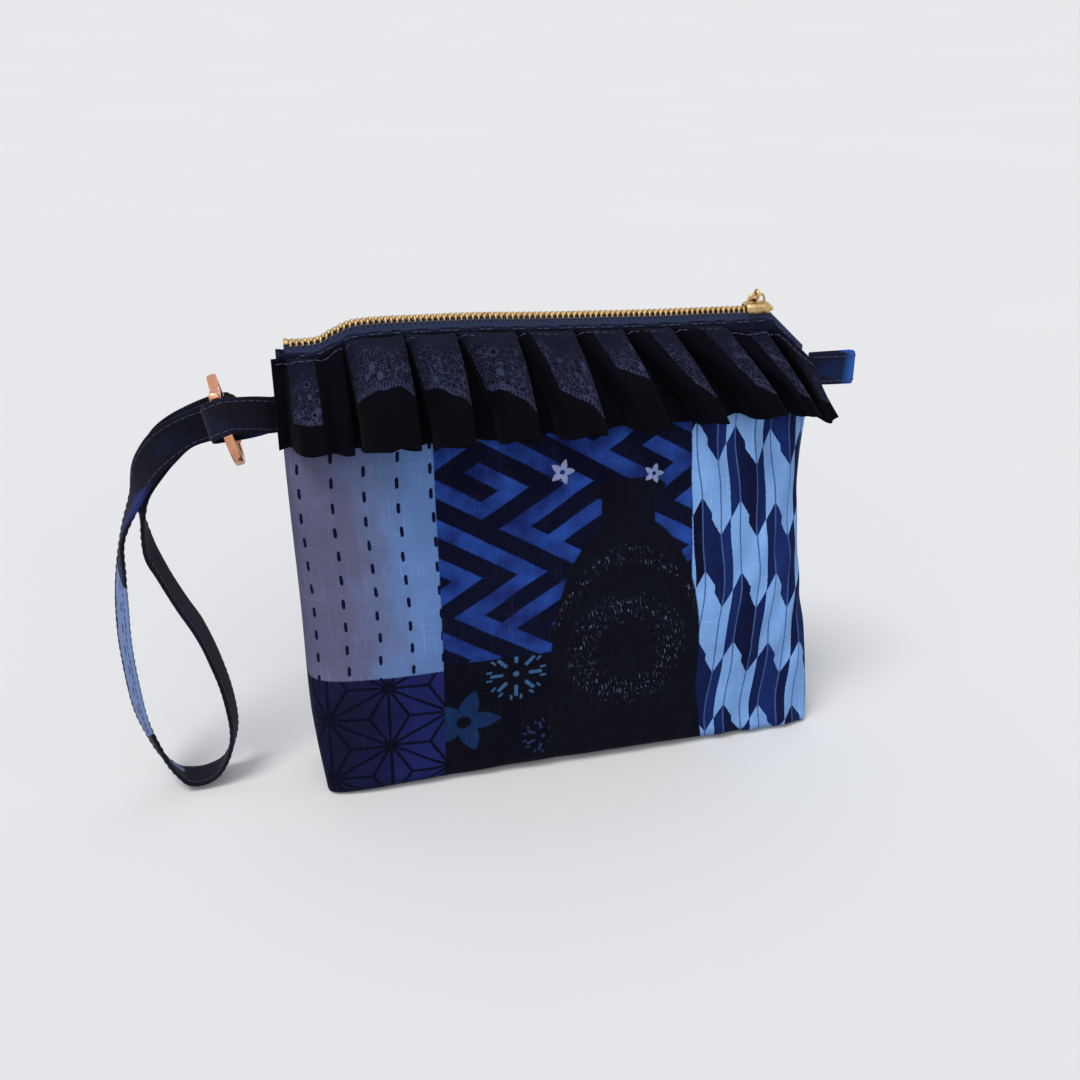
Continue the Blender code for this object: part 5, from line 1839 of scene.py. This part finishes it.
@dataclass
class Ruffle:
    """Pleated ruffle: eyelet trim on the faces of the pleats, over a longer frill painted near black as
    shade.

    Attributes:
        lace: finish of the faces.
        shade: near-black finish, painted shade on the cloth between and under the faces.
        thread: finish of the seam.
        rows: levels from seam to hem.
    """

    lace: bpy.types.Material
    shade: bpy.types.Material
    thread: bpy.types.Material
    rows: int = 48

    def pleat(self, k: int, q: float) -> list[Corner]:
        """Corners of one pleat at a share of the cloth's length below the seam.

        A pleat is a flat stretch that widens downward, a steep rise, a face that stands off the pouch, a
        fold, and a return underneath.

        Args:
            k: number of the pleat, from the left.
            q: share of the cloth's length, 0 at the seam and 1 at the hem.

        Returns:
            Its corners: for each the place along the seam, the height off the pouch, where the trim ends as a
            share of the length, and 0 if the next stretch is a face, else 1 for cloth painted as shade.
        """
        start, end = PLEAT_ENDS[k], PLEAT_ENDS[k + 1]
        pitch = end - start
        base, layer = PLEAT_STANDOFF, PLEAT_LAYER
        bend = layer / 2
        narrow = 1.0 - 0.15 * q
        opening = q**1.3 if k >= SLOW_PLEAT else 1.0 - (1.0 - min(q / 0.85, 1.0)) ** 1.5
        high = PLEAT_FLAT + (PLEAT_FLARES[k] - PLEAT_FLAT) * opening
        flat = PLEAT_RECESSES[k] * pitch * min(1.0, 1.4 * q)
        left, right = LACE_ENDS[k]
        # Part of the face, the rise of later pleats and the first pleat's fold get the near-black cloth:
        # painted shade
        shade = PLEAT_PAINTED_SHADE[k]
        painted_shade_rise, painted_shade_fold = float(shade > 0.0), float(k == 0)
        if k == 0:
            corners = [(start - 0.0042, base + 0.0010, left, 1.0), (start - 0.0020, base + 0.0006, left, 1.0)]
        else:
            before = lap_of(k - 1) * narrow
            corners = [(start - before - bend, base + bend, right, 1.0), (start - before, base, right, 1.0)]
        face = start + 0.16 * pitch + flat
        corners += [(start, base + 0.03 * high, left, 1.0),
                    (start + 0.01 * pitch + flat, base + 0.05 * high, left, 1.0),
                    (start + 0.07 * pitch + flat, base + 0.60 * high, left, painted_shade_rise),
                    (face, base + 0.92 * high, left * 0.8 + right * 0.2, painted_shade_rise)]
        if shade > 0.0:
            corners += [(face * (1.0 - shade) + (end - bend) * shade, base + high * (0.92 + 0.08 * shade),
                         left * (1.0 - shade) + right * shade, 0.0)]
        if k == 0:
            corners += [(start + 0.52 * pitch, base + 1.04 * high, right, 1.0),
                        (start + 0.72 * pitch, base + 0.72 * high, right, 1.0)]
        corners += [(end - bend, base + high, right, painted_shade_fold)]
        if k < len(PLEAT_FLARES) - 1:
            lap = lap_of(k) * narrow
            back = base + layer + 0.30 * max(high - 2 * layer, 0.0)
            corners += [(end, base + high - bend, right, painted_shade_fold),
                        (end - bend, base + high - layer, right, 1.0),
                        (end - 0.55 * lap, back, right, 1.0), (end - lap, base + layer, right, 1.0)]
        return corners

    def line(self, q: float) -> tuple[Array, Array, Array, Array]:
        """Centre line of the cloth at a share of its length below the seam.

        The pleats' corners are rounded by a cubic through them, with slopes weighted by their distances.

        Args:
            q: share of the cloth's length, 0 at the seam and 1 at the hem.

        Returns:
            Places along the seam, heights off the pouch, where the trim ends as a share of the length, and
            for each step to the next place 0 on a face and 1 elsewhere, where the cloth is painted as shade.
        """
        corners = np.array([corner for k in range(len(PLEAT_FLARES)) for corner in self.pleat(k, q)])
        t = np.linspace(0.0, 1.0, FOLD_STEPS, endpoint=False)[None, :, None]
        a, b, c, d = stretches(corners[:, :2], False)
        ab, bc, cd = (np.maximum(np.linalg.norm(n - m, axis=-1, keepdims=True), 1e-6)
                      for m, n in ((a, b), (b, c), (c, d)))
        leave = ((c - b) / bc * ab + (b - a) / ab * bc) / (ab + bc) * bc
        arrive = ((d - c) / cd * bc + (c - b) / bc * cd) / (bc + cd) * bc
        dense = hermite(t, b, c, 0.9 * leave, 0.9 * arrive).reshape(-1, 2)
        dense = np.vstack([dense, corners[-1, :2]])
        ends = np.interp(np.arange(len(dense)) / FOLD_STEPS, np.arange(len(corners)), corners[:, 2])
        kinds = np.repeat(corners[:-1, 3], FOLD_STEPS)
        return dense[:, 0], np.maximum(dense[:, 1], PLEAT_STANDOFF * 0.9), ends, kinds

    def build(self) -> None:
        """Makes the ruffle and its seam."""
        shares_down = np.linspace(0.0, 1.0, self.rows) ** 0.9
        flat = []
        for q in shares_down:
            s, off, ends, kinds = self.line(float(q))
            top = RUFFLE_TOP - end_drop(s, np.full_like(s, RUFFLE_TOP)) - ease(PULL_ROOM, s)
            wave = 0.0006 * q * np.sin(s * 900.0 + off * 300.0)
            off = off + wave * (off > 0.004)
            lifted = 0.94 * np.maximum(off - PLEAT_FLAT, 0.0)
            length = RUFFLE_LENGTH * q * ease(RUFFLE_END, s)
            drop = np.sqrt(np.maximum(length**2 - lifted**2, 0.04 * length**2))
            z = top - drop - 0.0005 * q * np.sin(s * 510.0 + 1.0)
            x = s + ease(RUFFLE_SWEEP, s) * length
            flat.append(np.stack([x, -body_depth(np.maximum(x, PLEAT_ENDS[0]), z) - off, z], axis=-1))
        sheet = np.stack(flat)
        along = np.linalg.norm(np.diff(sheet, axis=1), axis=-1)
        run = np.concatenate([[0.0], np.cumsum(along.mean(axis=0))])
        down = -LACE_DROP * shares_down[:, None] / ends[None, :]
        cloth = np.stack(np.broadcast_arrays(run[None, :], down), axis=-1)
        skin = Skin()
        # Slot 1, everywhere off the faces, is the near-black cloth painted as shade in the recesses and folds
        skin.grid(sheet, cloth, flip=True, slot=kinds.astype(int)[None, :])
        piece = skin.solid("ruffle_lace", [self.lace, self.shade])
        thicken(piece, RUFFLE_CLOTH)
        finish_piece(piece, "pouch", "eyelet_cotton", "ruffle")
        log.info("ruffle's flat width %.4f m", run[-1])
        path = sheet[2] + np.array([0.0, -0.0005, 0.0])
        keep = np.concatenate([[True], np.diff(np.maximum.accumulate(path[:, 0])) > 1e-5])
        line = path[keep]
        seam = Skin()
        out = np.broadcast_to(np.array([0.0, -1.0, 0.1]), line.shape)
        stitches(seam, line, out, Stitch(0.0030, 0.0023, 0.0002))
        finish_piece(seam.solid("ruffle_seam", [self.thread]), "pouch", "navy_cotton")


RING_CENTRE = np.array([-0.1237, 0.0045, 0.1510])
RING_LEAN = math.radians(-14.0)
RING_RADIUS = 0.0134
RING_RADIAL = 0.0026
RING_AXIAL = 0.0036
EAR_HEIGHT = 0.0052
EAR_ANGLE = math.radians(33.0)
EAR_HALF = math.radians(17.0)
GATE_HINGE = math.radians(318.0)
GATE_PART = -0.0080
GATE_AXIAL = 0.0030
KNUCKLE_RADIUS = 0.0017
KNUCKLE_HALF = 0.0007
PIN_RADIUS = 0.0005
RING_GAP = 0.0003
HOOP_START, HOOP_END = -42.0, 226.0
GATE_CUT, GATE_START, GATE_END = 229.0, 236.0, 314.0
GATE_NECK, GATE_TONGUE = 0.0016, 0.0013


def lean_point(points: Array) -> Array:
    """Turns points from the ring's own axes, X along its axis, Y to its back and Z up, to the pouch's.

    Args:
        points: places in the ring's axes.

    Returns:
        The places in the pouch's axes.
    """
    c, s = math.cos(RING_LEAN), math.sin(RING_LEAN)
    x, y, z = points[..., 0], points[..., 1], points[..., 2]
    return np.stack([c * x + s * z, y, -s * x + c * z], axis=-1) + RING_CENTRE


def lean_way(way: Array) -> Array:
    """Direction from the ring's own axes to the pouch's."""
    return lean_point(way) - RING_CENTRE


@dataclass
class Ring:
    """Gate ring with two ears, its gate and the gate's pin.

    Attributes:
        metal: finish of all three.
    """

    metal: bpy.types.Material

    def hoop(self, angles: Array, radial: Array, axial: Array, rise: Array) -> Array:
        """Rounded-square bar bent along a circle.

        Args:
            angles: places round the circle.
            radial: thickness away from the centre.
            axial: thickness along the axis.
            rise: extra radius, taken by the outer and inner faces alike.

        Returns:
            Grid of points in the ring's own axes.
        """
        a, b = rounded(full_turn(20), 0.55, 0.55)
        r = RING_RADIUS + rise[:, None] + radial[:, None] / 2 * b[None, :]
        x = axial[:, None] / 2 * a[None, :]
        return np.stack([x, r * np.cos(angles)[:, None], r * np.sin(angles)[:, None]], axis=-1)

    def parted(self, section: Array, at: float) -> Array:
        """Moves a section along its own circles to where the ring and the gate part.

        Args:
            section: ring of points in the ring's own axes.
            at: depth at which it is cut square.

        Returns:
            The moved section.
        """
        radius = np.hypot(section[:, 1], section[:, 2])
        return np.stack([section[:, 0], np.full_like(radius, at), -np.sqrt(radius**2 - at**2)], axis=-1)

    def build(self) -> None:
        """Makes the ring, gate and pin."""
        angles = np.radians(np.linspace(HOOP_START, HOOP_END, 220))
        rise = np.zeros_like(angles)
        for centre in (math.pi / 2 - EAR_ANGLE, math.pi / 2 + EAR_ANGLE):
            away = np.abs(angles - centre) / EAR_HALF
            rise = np.maximum(rise, EAR_HEIGHT * np.clip(1.0 - away, 0.0, 1.0) ** 1.1)
        grid = self.hoop(angles, np.full_like(angles, RING_RADIAL), np.full_like(angles, RING_AXIAL), rise)
        grid[-1] = self.parted(grid[-1], GATE_PART - RING_GAP / 2)
        skin = Skin()
        skin.bar(lean_point(grid))
        for side in (-1.0, 1.0):
            self.knuckle(skin, side * (KNUCKLE_HALF + RING_GAP / 2), side * RING_AXIAL / 2, KNUCKLE_RADIUS)
        finish_piece(skin.solid("ring_hoop", [self.metal], merge=1e-7), "ring", "rose_gold", "ring_frame")
        angles = np.radians(np.concatenate([[GATE_CUT], np.linspace(GATE_START, GATE_END, 70)]))
        share = smooth(math.radians(312.0), math.radians(306.0), angles)
        radial = GATE_NECK + (RING_RADIAL - 2 * RING_GAP - GATE_NECK) * share
        axial = GATE_TONGUE + (GATE_AXIAL - GATE_TONGUE) * share
        grid = self.hoop(angles, radial, axial, np.zeros_like(angles))
        grid[0] = self.parted(grid[0], GATE_PART + RING_GAP / 2)
        skin = Skin()
        skin.bar(lean_point(grid))
        self.knuckle(skin, -KNUCKLE_HALF, KNUCKLE_HALF, KNUCKLE_RADIUS)
        finish_piece(skin.solid("ring_gate_bar", [self.metal], merge=1e-7), "gate", "rose_gold", "ring_gate")
        skin = Skin()
        head = RING_AXIAL / 2 + 0.00012
        self.knuckle(skin, -head, head, PIN_RADIUS)
        finish_piece(skin.solid("ring_pin", [self.metal], merge=1e-7), "ring", "rose_gold", "gate_pin")

    def knuckle(self, skin: Skin, start: float, end: float, radius: float) -> None:
        """Adds a short barrel with rounded rims on the gate's hinge.

        Args:
            skin: mesh to add to.
            start: one end along the ring's axis.
            end: other end.
            radius: radius of the barrel.
        """
        pivot = np.array([0.0, math.cos(GATE_HINGE), math.sin(GATE_HINGE)]) * RING_RADIUS
        t = np.array([0.0, 0.06, 0.2, 0.8, 0.94, 1.0])[:, None]
        size = radius * np.array([0.86, 0.96, 1.0, 1.0, 0.96, 0.86])[:, None]
        turn = full_turn(24)
        barrel = np.broadcast_arrays(start + (end - start) * t, size * np.cos(turn), size * np.sin(turn))
        skin.bar(lean_point(np.stack(barrel, axis=-1) + pivot))


FOLD_RADIUS = 0.0042
FOLD_SHIFT = 0.0008
TAB_FOLD_RADIUS = 0.0050
TAB_FOLD_SHIFT = 0.0004
TAB_TURN = math.radians(29.0)
TAB_HEIGHT = 0.0130
TAB_CLOTH = 0.0012
TAB_MIDDLE = 0.1555
RIGHT_TAB_LENGTH = 0.0200
STRAP_WIDTH = 0.0138
STRAP_THICKNESS = 0.0018
STRAP_PRESSED = 0.0012
STRAP_DOWN = (
    (-0.0416, 0.0080, -0.0412),
    (-0.0440, 0.0070, -0.0548),
    (-0.0456, 0.0065, -0.0690),
    (-0.0465, 0.0060, -0.0841),
    (-0.0461, 0.0055, -0.1006),
    (-0.0450, 0.0050, -0.1150),
    (-0.0428, 0.0045, -0.1248),
    (-0.0386, 0.0040, -0.1370),
    (-0.0341, 0.0040, -0.1445),
    (-0.0298, 0.0040, -0.1477),
    (-0.0232, 0.0040, -0.1480),
)
STRAP_UP = (
    (-0.0165, 0.0040, -0.1443),
    (-0.0121, 0.0040, -0.1359),
    (-0.0103, 0.0045, -0.1256),
    (-0.0117, 0.0055, -0.1101),
    (-0.0151, 0.0060, -0.0949),
    (-0.0190, 0.0065, -0.0826),
    (-0.0244, 0.0070, -0.0709),
    (-0.0298, 0.0080, -0.0579),
    (-0.0334, 0.0090, -0.0467),
)
STRAP_TURN: Rows = ((0.0, 0.0), (2.0, 0.36), (7.0, 0.36), (10.0, 0.0))
STRAP_STEM = (
    (-0.0170, 0.0120, -0.0048),
    (-0.0284, 0.0105, -0.0151),
    (-0.0346, 0.0090, -0.0284),
)


@dataclass
class Strap:
    """Wrist strap: one folded strip round the ring's back bar, pressed double and falling in a loop.

    Attributes:
        cloth: finish of the strip.
        thread: finish of the stitches.
        steps: points along the strip.
    """

    cloth: bpy.types.Material
    thread: bpy.types.Material
    steps: int = 420

    def controls(self) -> Array:
        """Control points of the strip's closed path.

        Returns:
            Rows of a place and the direction of the strip's width there.
        """
        bar = lean_point(np.array([0.0, RING_RADIUS, 0.0]))
        lean = lean_way(np.array([0.0, 0.0, 1.0]))
        deep = np.array([0.0, 1.0, 0.0])
        stem = RING_CENTRE + np.array(STRAP_STEM)
        widths = unit(np.array([lean, lean * 0.8 + deep * 0.6, lean * 0.35 + deep * 0.94]))
        chain = np.vstack([bar, stem, RING_CENTRE + np.array(STRAP_DOWN[:1])])
        along = unit(chain[2:] - chain[:-2])
        wide = square_to(widths, along)
        face = np.cross(along, wide)
        apart = np.array([STRAP_PRESSED + 0.0006, STRAP_PRESSED, STRAP_PRESSED])[:, None]
        front = np.hstack([stem - face * apart, wide])
        back = np.hstack([stem + face * apart, wide])
        fold = bar - deep * FOLD_SHIFT
        radius = FOLD_RADIUS + STRAP_THICKNESS / 2
        angle = np.radians(np.array([-120, -80, -40, 0, 40, 80, 120]))[:, None]
        spots = fold + np.array([1.0, 0.0, 0.0]) * radius * np.cos(angle) + deep * radius * np.sin(angle)
        bends = np.hstack([spots, np.broadcast_to(lean, spots.shape)])
        turned = np.array([ease(STRAP_TURN, float(k)) for k in range(len(STRAP_DOWN))])[:, None]
        facing = unit(deep - turned * np.array([1.0, 0.0, 0.0]))
        down = np.hstack([RING_CENTRE + np.array(STRAP_DOWN), facing])
        up = np.hstack([RING_CENTRE + np.array(STRAP_UP), np.tile([0.20, 0.98, 0.0], (len(STRAP_UP), 1))])
        return np.vstack([bends[3::-1], front, down, up, back[::-1], bends[:3:-1]])

    def build(self) -> None:
        """Makes the strip and the stitching along both its edges."""
        line = curve_through(self.controls(), self.steps, True)
        path, wide = line[:, :3], line[:, 3:]
        t = full_turn(self.steps)
        width = STRAP_WIDTH * (1.0 + 0.02 * np.sin(9.0 * t) + 0.012 * np.sin(23.0 * t + 1.0))
        thick = STRAP_THICKNESS * (1.0 + 0.06 * np.sin(17.0 * t))
        grid, cloth = bar_along(path, wide, width, thick, True, 9)
        skin = Skin()
        closing = np.concatenate([grid, grid[:1]])
        length = float(np.linalg.norm(path[0] - path[-1]))
        last = cloth[-1:].copy()
        last[..., 0] += length
        skin.grid(closing, np.concatenate([cloth, last]), around=True)
        piece = skin.solid("strap_cloth", [self.cloth], merge=1e-7)
        finish_piece(piece, "strap", "navy_cotton", "wrist_strap")
        across, face = across_and_face(path, wide, True)
        seam = Skin()
        for edge in (-1.0, 1.0):
            for side in (-1.0, 1.0):
                row = path + across * edge * (STRAP_WIDTH / 2 - 0.0018) + face * side * STRAP_THICKNESS * 0.45
                stitches(seam, row, face * side, Stitch(0.0031, 0.0024, 0.00015))
        finish_piece(seam.solid("strap_stitches", [self.thread]), "strap", "navy_cotton")


@dataclass
class Tabs:
    """Left tab folded round the ring's front bar, and the short folded tab on the right.

    Attributes:
        dark: finish of the left tab.
        bright: finish of the right tab.
        thread: finish of the stitches.
        steps: points along a tab.
    """

    dark: bpy.types.Material
    bright: bpy.types.Material
    thread: bpy.types.Material
    steps: int = 120

    def path(self, root: Array, centre: Array, axis: Array, radius: float, first: float,
             last: float) -> Array:
        """Path of a doubled strip from a root round a bar and back.

        Args:
            root: where it leaves the pouch.
            centre: middle of the fold.
            axis: direction of the bar.
            radius: radius of the fold.
            first: half gap at the root.
            last: half gap at the middle.

        Returns:
            Points of the path.
        """
        toward = square_to(centre - root, axis)
        side = np.cross(axis, toward)
        lead = np.array([math.copysign(1.0, toward[0]), 0.0, 0.0])
        square = np.array([0.0, lead[0], 0.0])
        middle = root + (centre - root) * 0.5
        angle = (math.pi / 2 - math.pi * np.linspace(0.0, 1.0, 9))[:, None]
        fold = centre + toward * radius * np.cos(angle) + side * radius * np.sin(angle)
        out = root + lead * 0.002
        return np.vstack([root + square * first, out + square * first, middle + side * last, fold,
                          middle - side * last, out - square * first, root - square * first])

    def strip(self, name: str, node: str, finish: bpy.types.Material, path: Array, axes: Array) -> None:
        """Makes one tab with a row of stitches along each edge.

        Args:
            name: object name.
            node: solid that it stands for.
            finish: material.
            path: points of the strip.
            axes: direction of its width at each point.
        """
        line = curve_through(np.hstack([path, axes]), self.steps, False)
        line, wide = line[:, :3], line[:, 3:]
        grid, cloth = bar_along(line, wide, np.array([TAB_HEIGHT]), np.array([TAB_CLOTH]), False, 9)
        skin = Skin()
        skin.bar(grid, cloth)
        finish_piece(skin.solid(name, [finish], merge=1e-7), "pouch", "navy_cotton", node)
        across, face = across_and_face(line, wide, False)
        sign = np.sign(np.sum(face * (line - line.mean(axis=0)), axis=1).mean())
        seam = Skin()
        for edge in (-1.0, 1.0):
            row = line + across * edge * (TAB_HEIGHT / 2 - 0.0016) + face * sign * TAB_CLOTH * 0.465
            stitches(seam, row, face * sign, Stitch(0.0030, 0.0022, 0.00018))
        finish_piece(seam.solid(name + "_stitches", [self.thread]), "pouch", "navy_cotton")

    def build(self) -> None:
        """Makes both tabs."""
        c, s = math.cos(TAB_TURN), math.sin(TAB_TURN)
        bar = lean_point(np.array([0.0, -RING_RADIUS * c, RING_RADIUS * s]))
        lean = lean_way(np.array([0.0, s, c]))
        up = np.array([0.0, 0.0, 1.0])
        flat = TAB_CLOTH / 2 + 0.00015
        level = np.array([TAB_MIDDLE])
        root = np.array([-ease(LEFT_WIDTH, level)[0] - 0.0003, 0.0, TAB_MIDDLE])
        centre = bar + np.array([0.0, TAB_FOLD_SHIFT, 0.0])
        path = self.path(root, centre, lean, TAB_FOLD_RADIUS + TAB_CLOTH / 2, flat, 0.0030)
        middle = (up + lean) / 2
        axes = np.vstack([up, up, middle] + [lean] * (len(path) - 6) + [middle, up, up])
        self.strip("left_tab", "ring_tab", self.dark, path, axes)
        root = np.array([ease(RIGHT_WIDTH, level)[0] + 0.0003, 0.0, TAB_MIDDLE])
        centre = np.array([root[0] + RIGHT_TAB_LENGTH - 0.0022, 0.0015, TAB_MIDDLE - 0.001])
        path = self.path(root, centre, up, 0.0016, flat, 0.0012)
        self.strip("right_tab", "side_tab", self.bright, path, np.tile(up, (len(path), 1)))


@dataclass
class Studio:
    """Camera at the photograph's place, floor, and soft lights.

    Attributes:
        eye: place of the camera.
        back: direction from what it looks at to the camera.
        lens: focal length in mm on a 36 mm sensor.
        floor_half: half the side of the floor.
    """

    eye: tuple[float, float, float] = (-0.12697, -0.43897, 0.30890)
    back: tuple[float, float, float] = (-0.2326, -0.8741, 0.4266)
    lens: float = 42.73
    floor_half: float = 40.0

    def build(self) -> None:
        """Makes everything that isn't part of the object."""
        scene = bpy.context.scene
        data = bpy.data.cameras.new("view")
        data.lens, data.sensor_width = self.lens, 36.0
        camera = bpy.data.objects.new("view", data)
        scene.collection.objects.link(camera)
        back = Vector(self.back).normalized()
        right = Vector((-back.y, back.x, 0.0)).normalized()
        turn = Matrix((right, back.cross(right), back)).transposed()
        camera.matrix_world = Matrix.Translation(Vector(self.eye) + HOME) @ turn.to_4x4()
        scene.camera = camera
        mesh = bpy.data.meshes.new("floor")
        corners = self.floor_half * np.array([[-1, -1, 0], [1, -1, 0], [1, 1, 0], [-1, 1, 0]])
        mesh.from_pydata(corners.tolist(), [], [(0, 1, 2, 3)])
        mesh.materials.append(Ground("pale_floor").make())
        floor = bpy.data.objects.new("floor", mesh)
        floor.location.z = -0.0001
        scene.collection.objects.link(floor)
        self.sun("key", (-0.35, -0.28, 0.89), 22.0, 1.7, (1.0, 0.99, 0.97))
        self.sun("fill", (-0.10, -0.88, 0.45), 70.0, 1.0, (0.98, 0.99, 1.0))
        self.world()
        scene.view_settings.view_transform = "Standard"

    def sun(self, name: str, way: tuple[float, float, float], spread: float, strength: float,
            colour: tuple[float, float, float]) -> None:
        """Far light of a given angular size.

        Args:
            name: light name.
            way: direction towards the light.
            spread: angular diameter in degrees, which softens the shadows.
            strength: irradiance.
            colour: tint.
        """
        data = bpy.data.lights.new(name, "SUN")
        data.angle, data.energy, data.color = math.radians(spread), strength, colour
        item = bpy.data.objects.new(name, data)
        item.rotation_mode = "QUATERNION"
        item.rotation_quaternion = Vector(way).to_track_quat("Z", "Y")
        bpy.context.scene.collection.objects.link(item)

    def world(self) -> None:
        """Pale sky that lights softly, and shows near white to the camera and in the metal."""
        world = bpy.data.worlds.new("sky")
        bpy.context.scene.world = world
        world.use_nodes = True
        net = Net(world.node_tree)
        sky = world.node_tree.nodes["Background"]
        seen = net.seen()
        net.feed(sky.inputs["Color"], net.blend(seen, tone(230, 234, 244), tone(235, 235, 238)))
        net.feed(sky.inputs["Strength"], net.lerp(seen, 0.60, 1.0))


def main() -> None:
    """Loads the frame and builds the studio and every piece in order."""
    logging.basicConfig(level=logging.INFO, format="%(message)s")
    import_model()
    low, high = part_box("slider_body")
    HOME.x = (low.x + high.x) / 2 - SLIDER_X
    HOME.y = (low.y + high.y) / 2
    Studio().build()
    brass = Metal("brass", (204, 172, 120), (84, 66, 44), 0.26).make()
    rose = Metal("rose_gold", (224, 162, 126), (160, 96, 68), 0.18).make()
    tape = RibbedTape("zip_tape").make()
    dark_thread = SewingThread("navy_thread", (30, 33, 56)).make()
    lace = EyeletCotton("eyelet_cotton", LACE_DROP * 1000.0).make()
    # Near-black cloth: painted shade on the ruffle's recesses, folds and underlayers
    shade = PlainCotton("frill_cotton", (6, 5, 11), (12, 12, 22)).make()
    strap_cloth = StrapCotton("strap_cotton").make()
    bright_cloth = StrapCotton("tab_cotton", True).make()
    Pouch().build()
    Zip(brass, tape, dark_thread).build()
    Ruffle(lace, shade, dark_thread).build()
    Ring(rose).build()
    Strap(strap_cloth, dark_thread).build()
    Tabs(strap_cloth, bright_cloth, dark_thread).build()


if __name__ == "__main__":
    main()
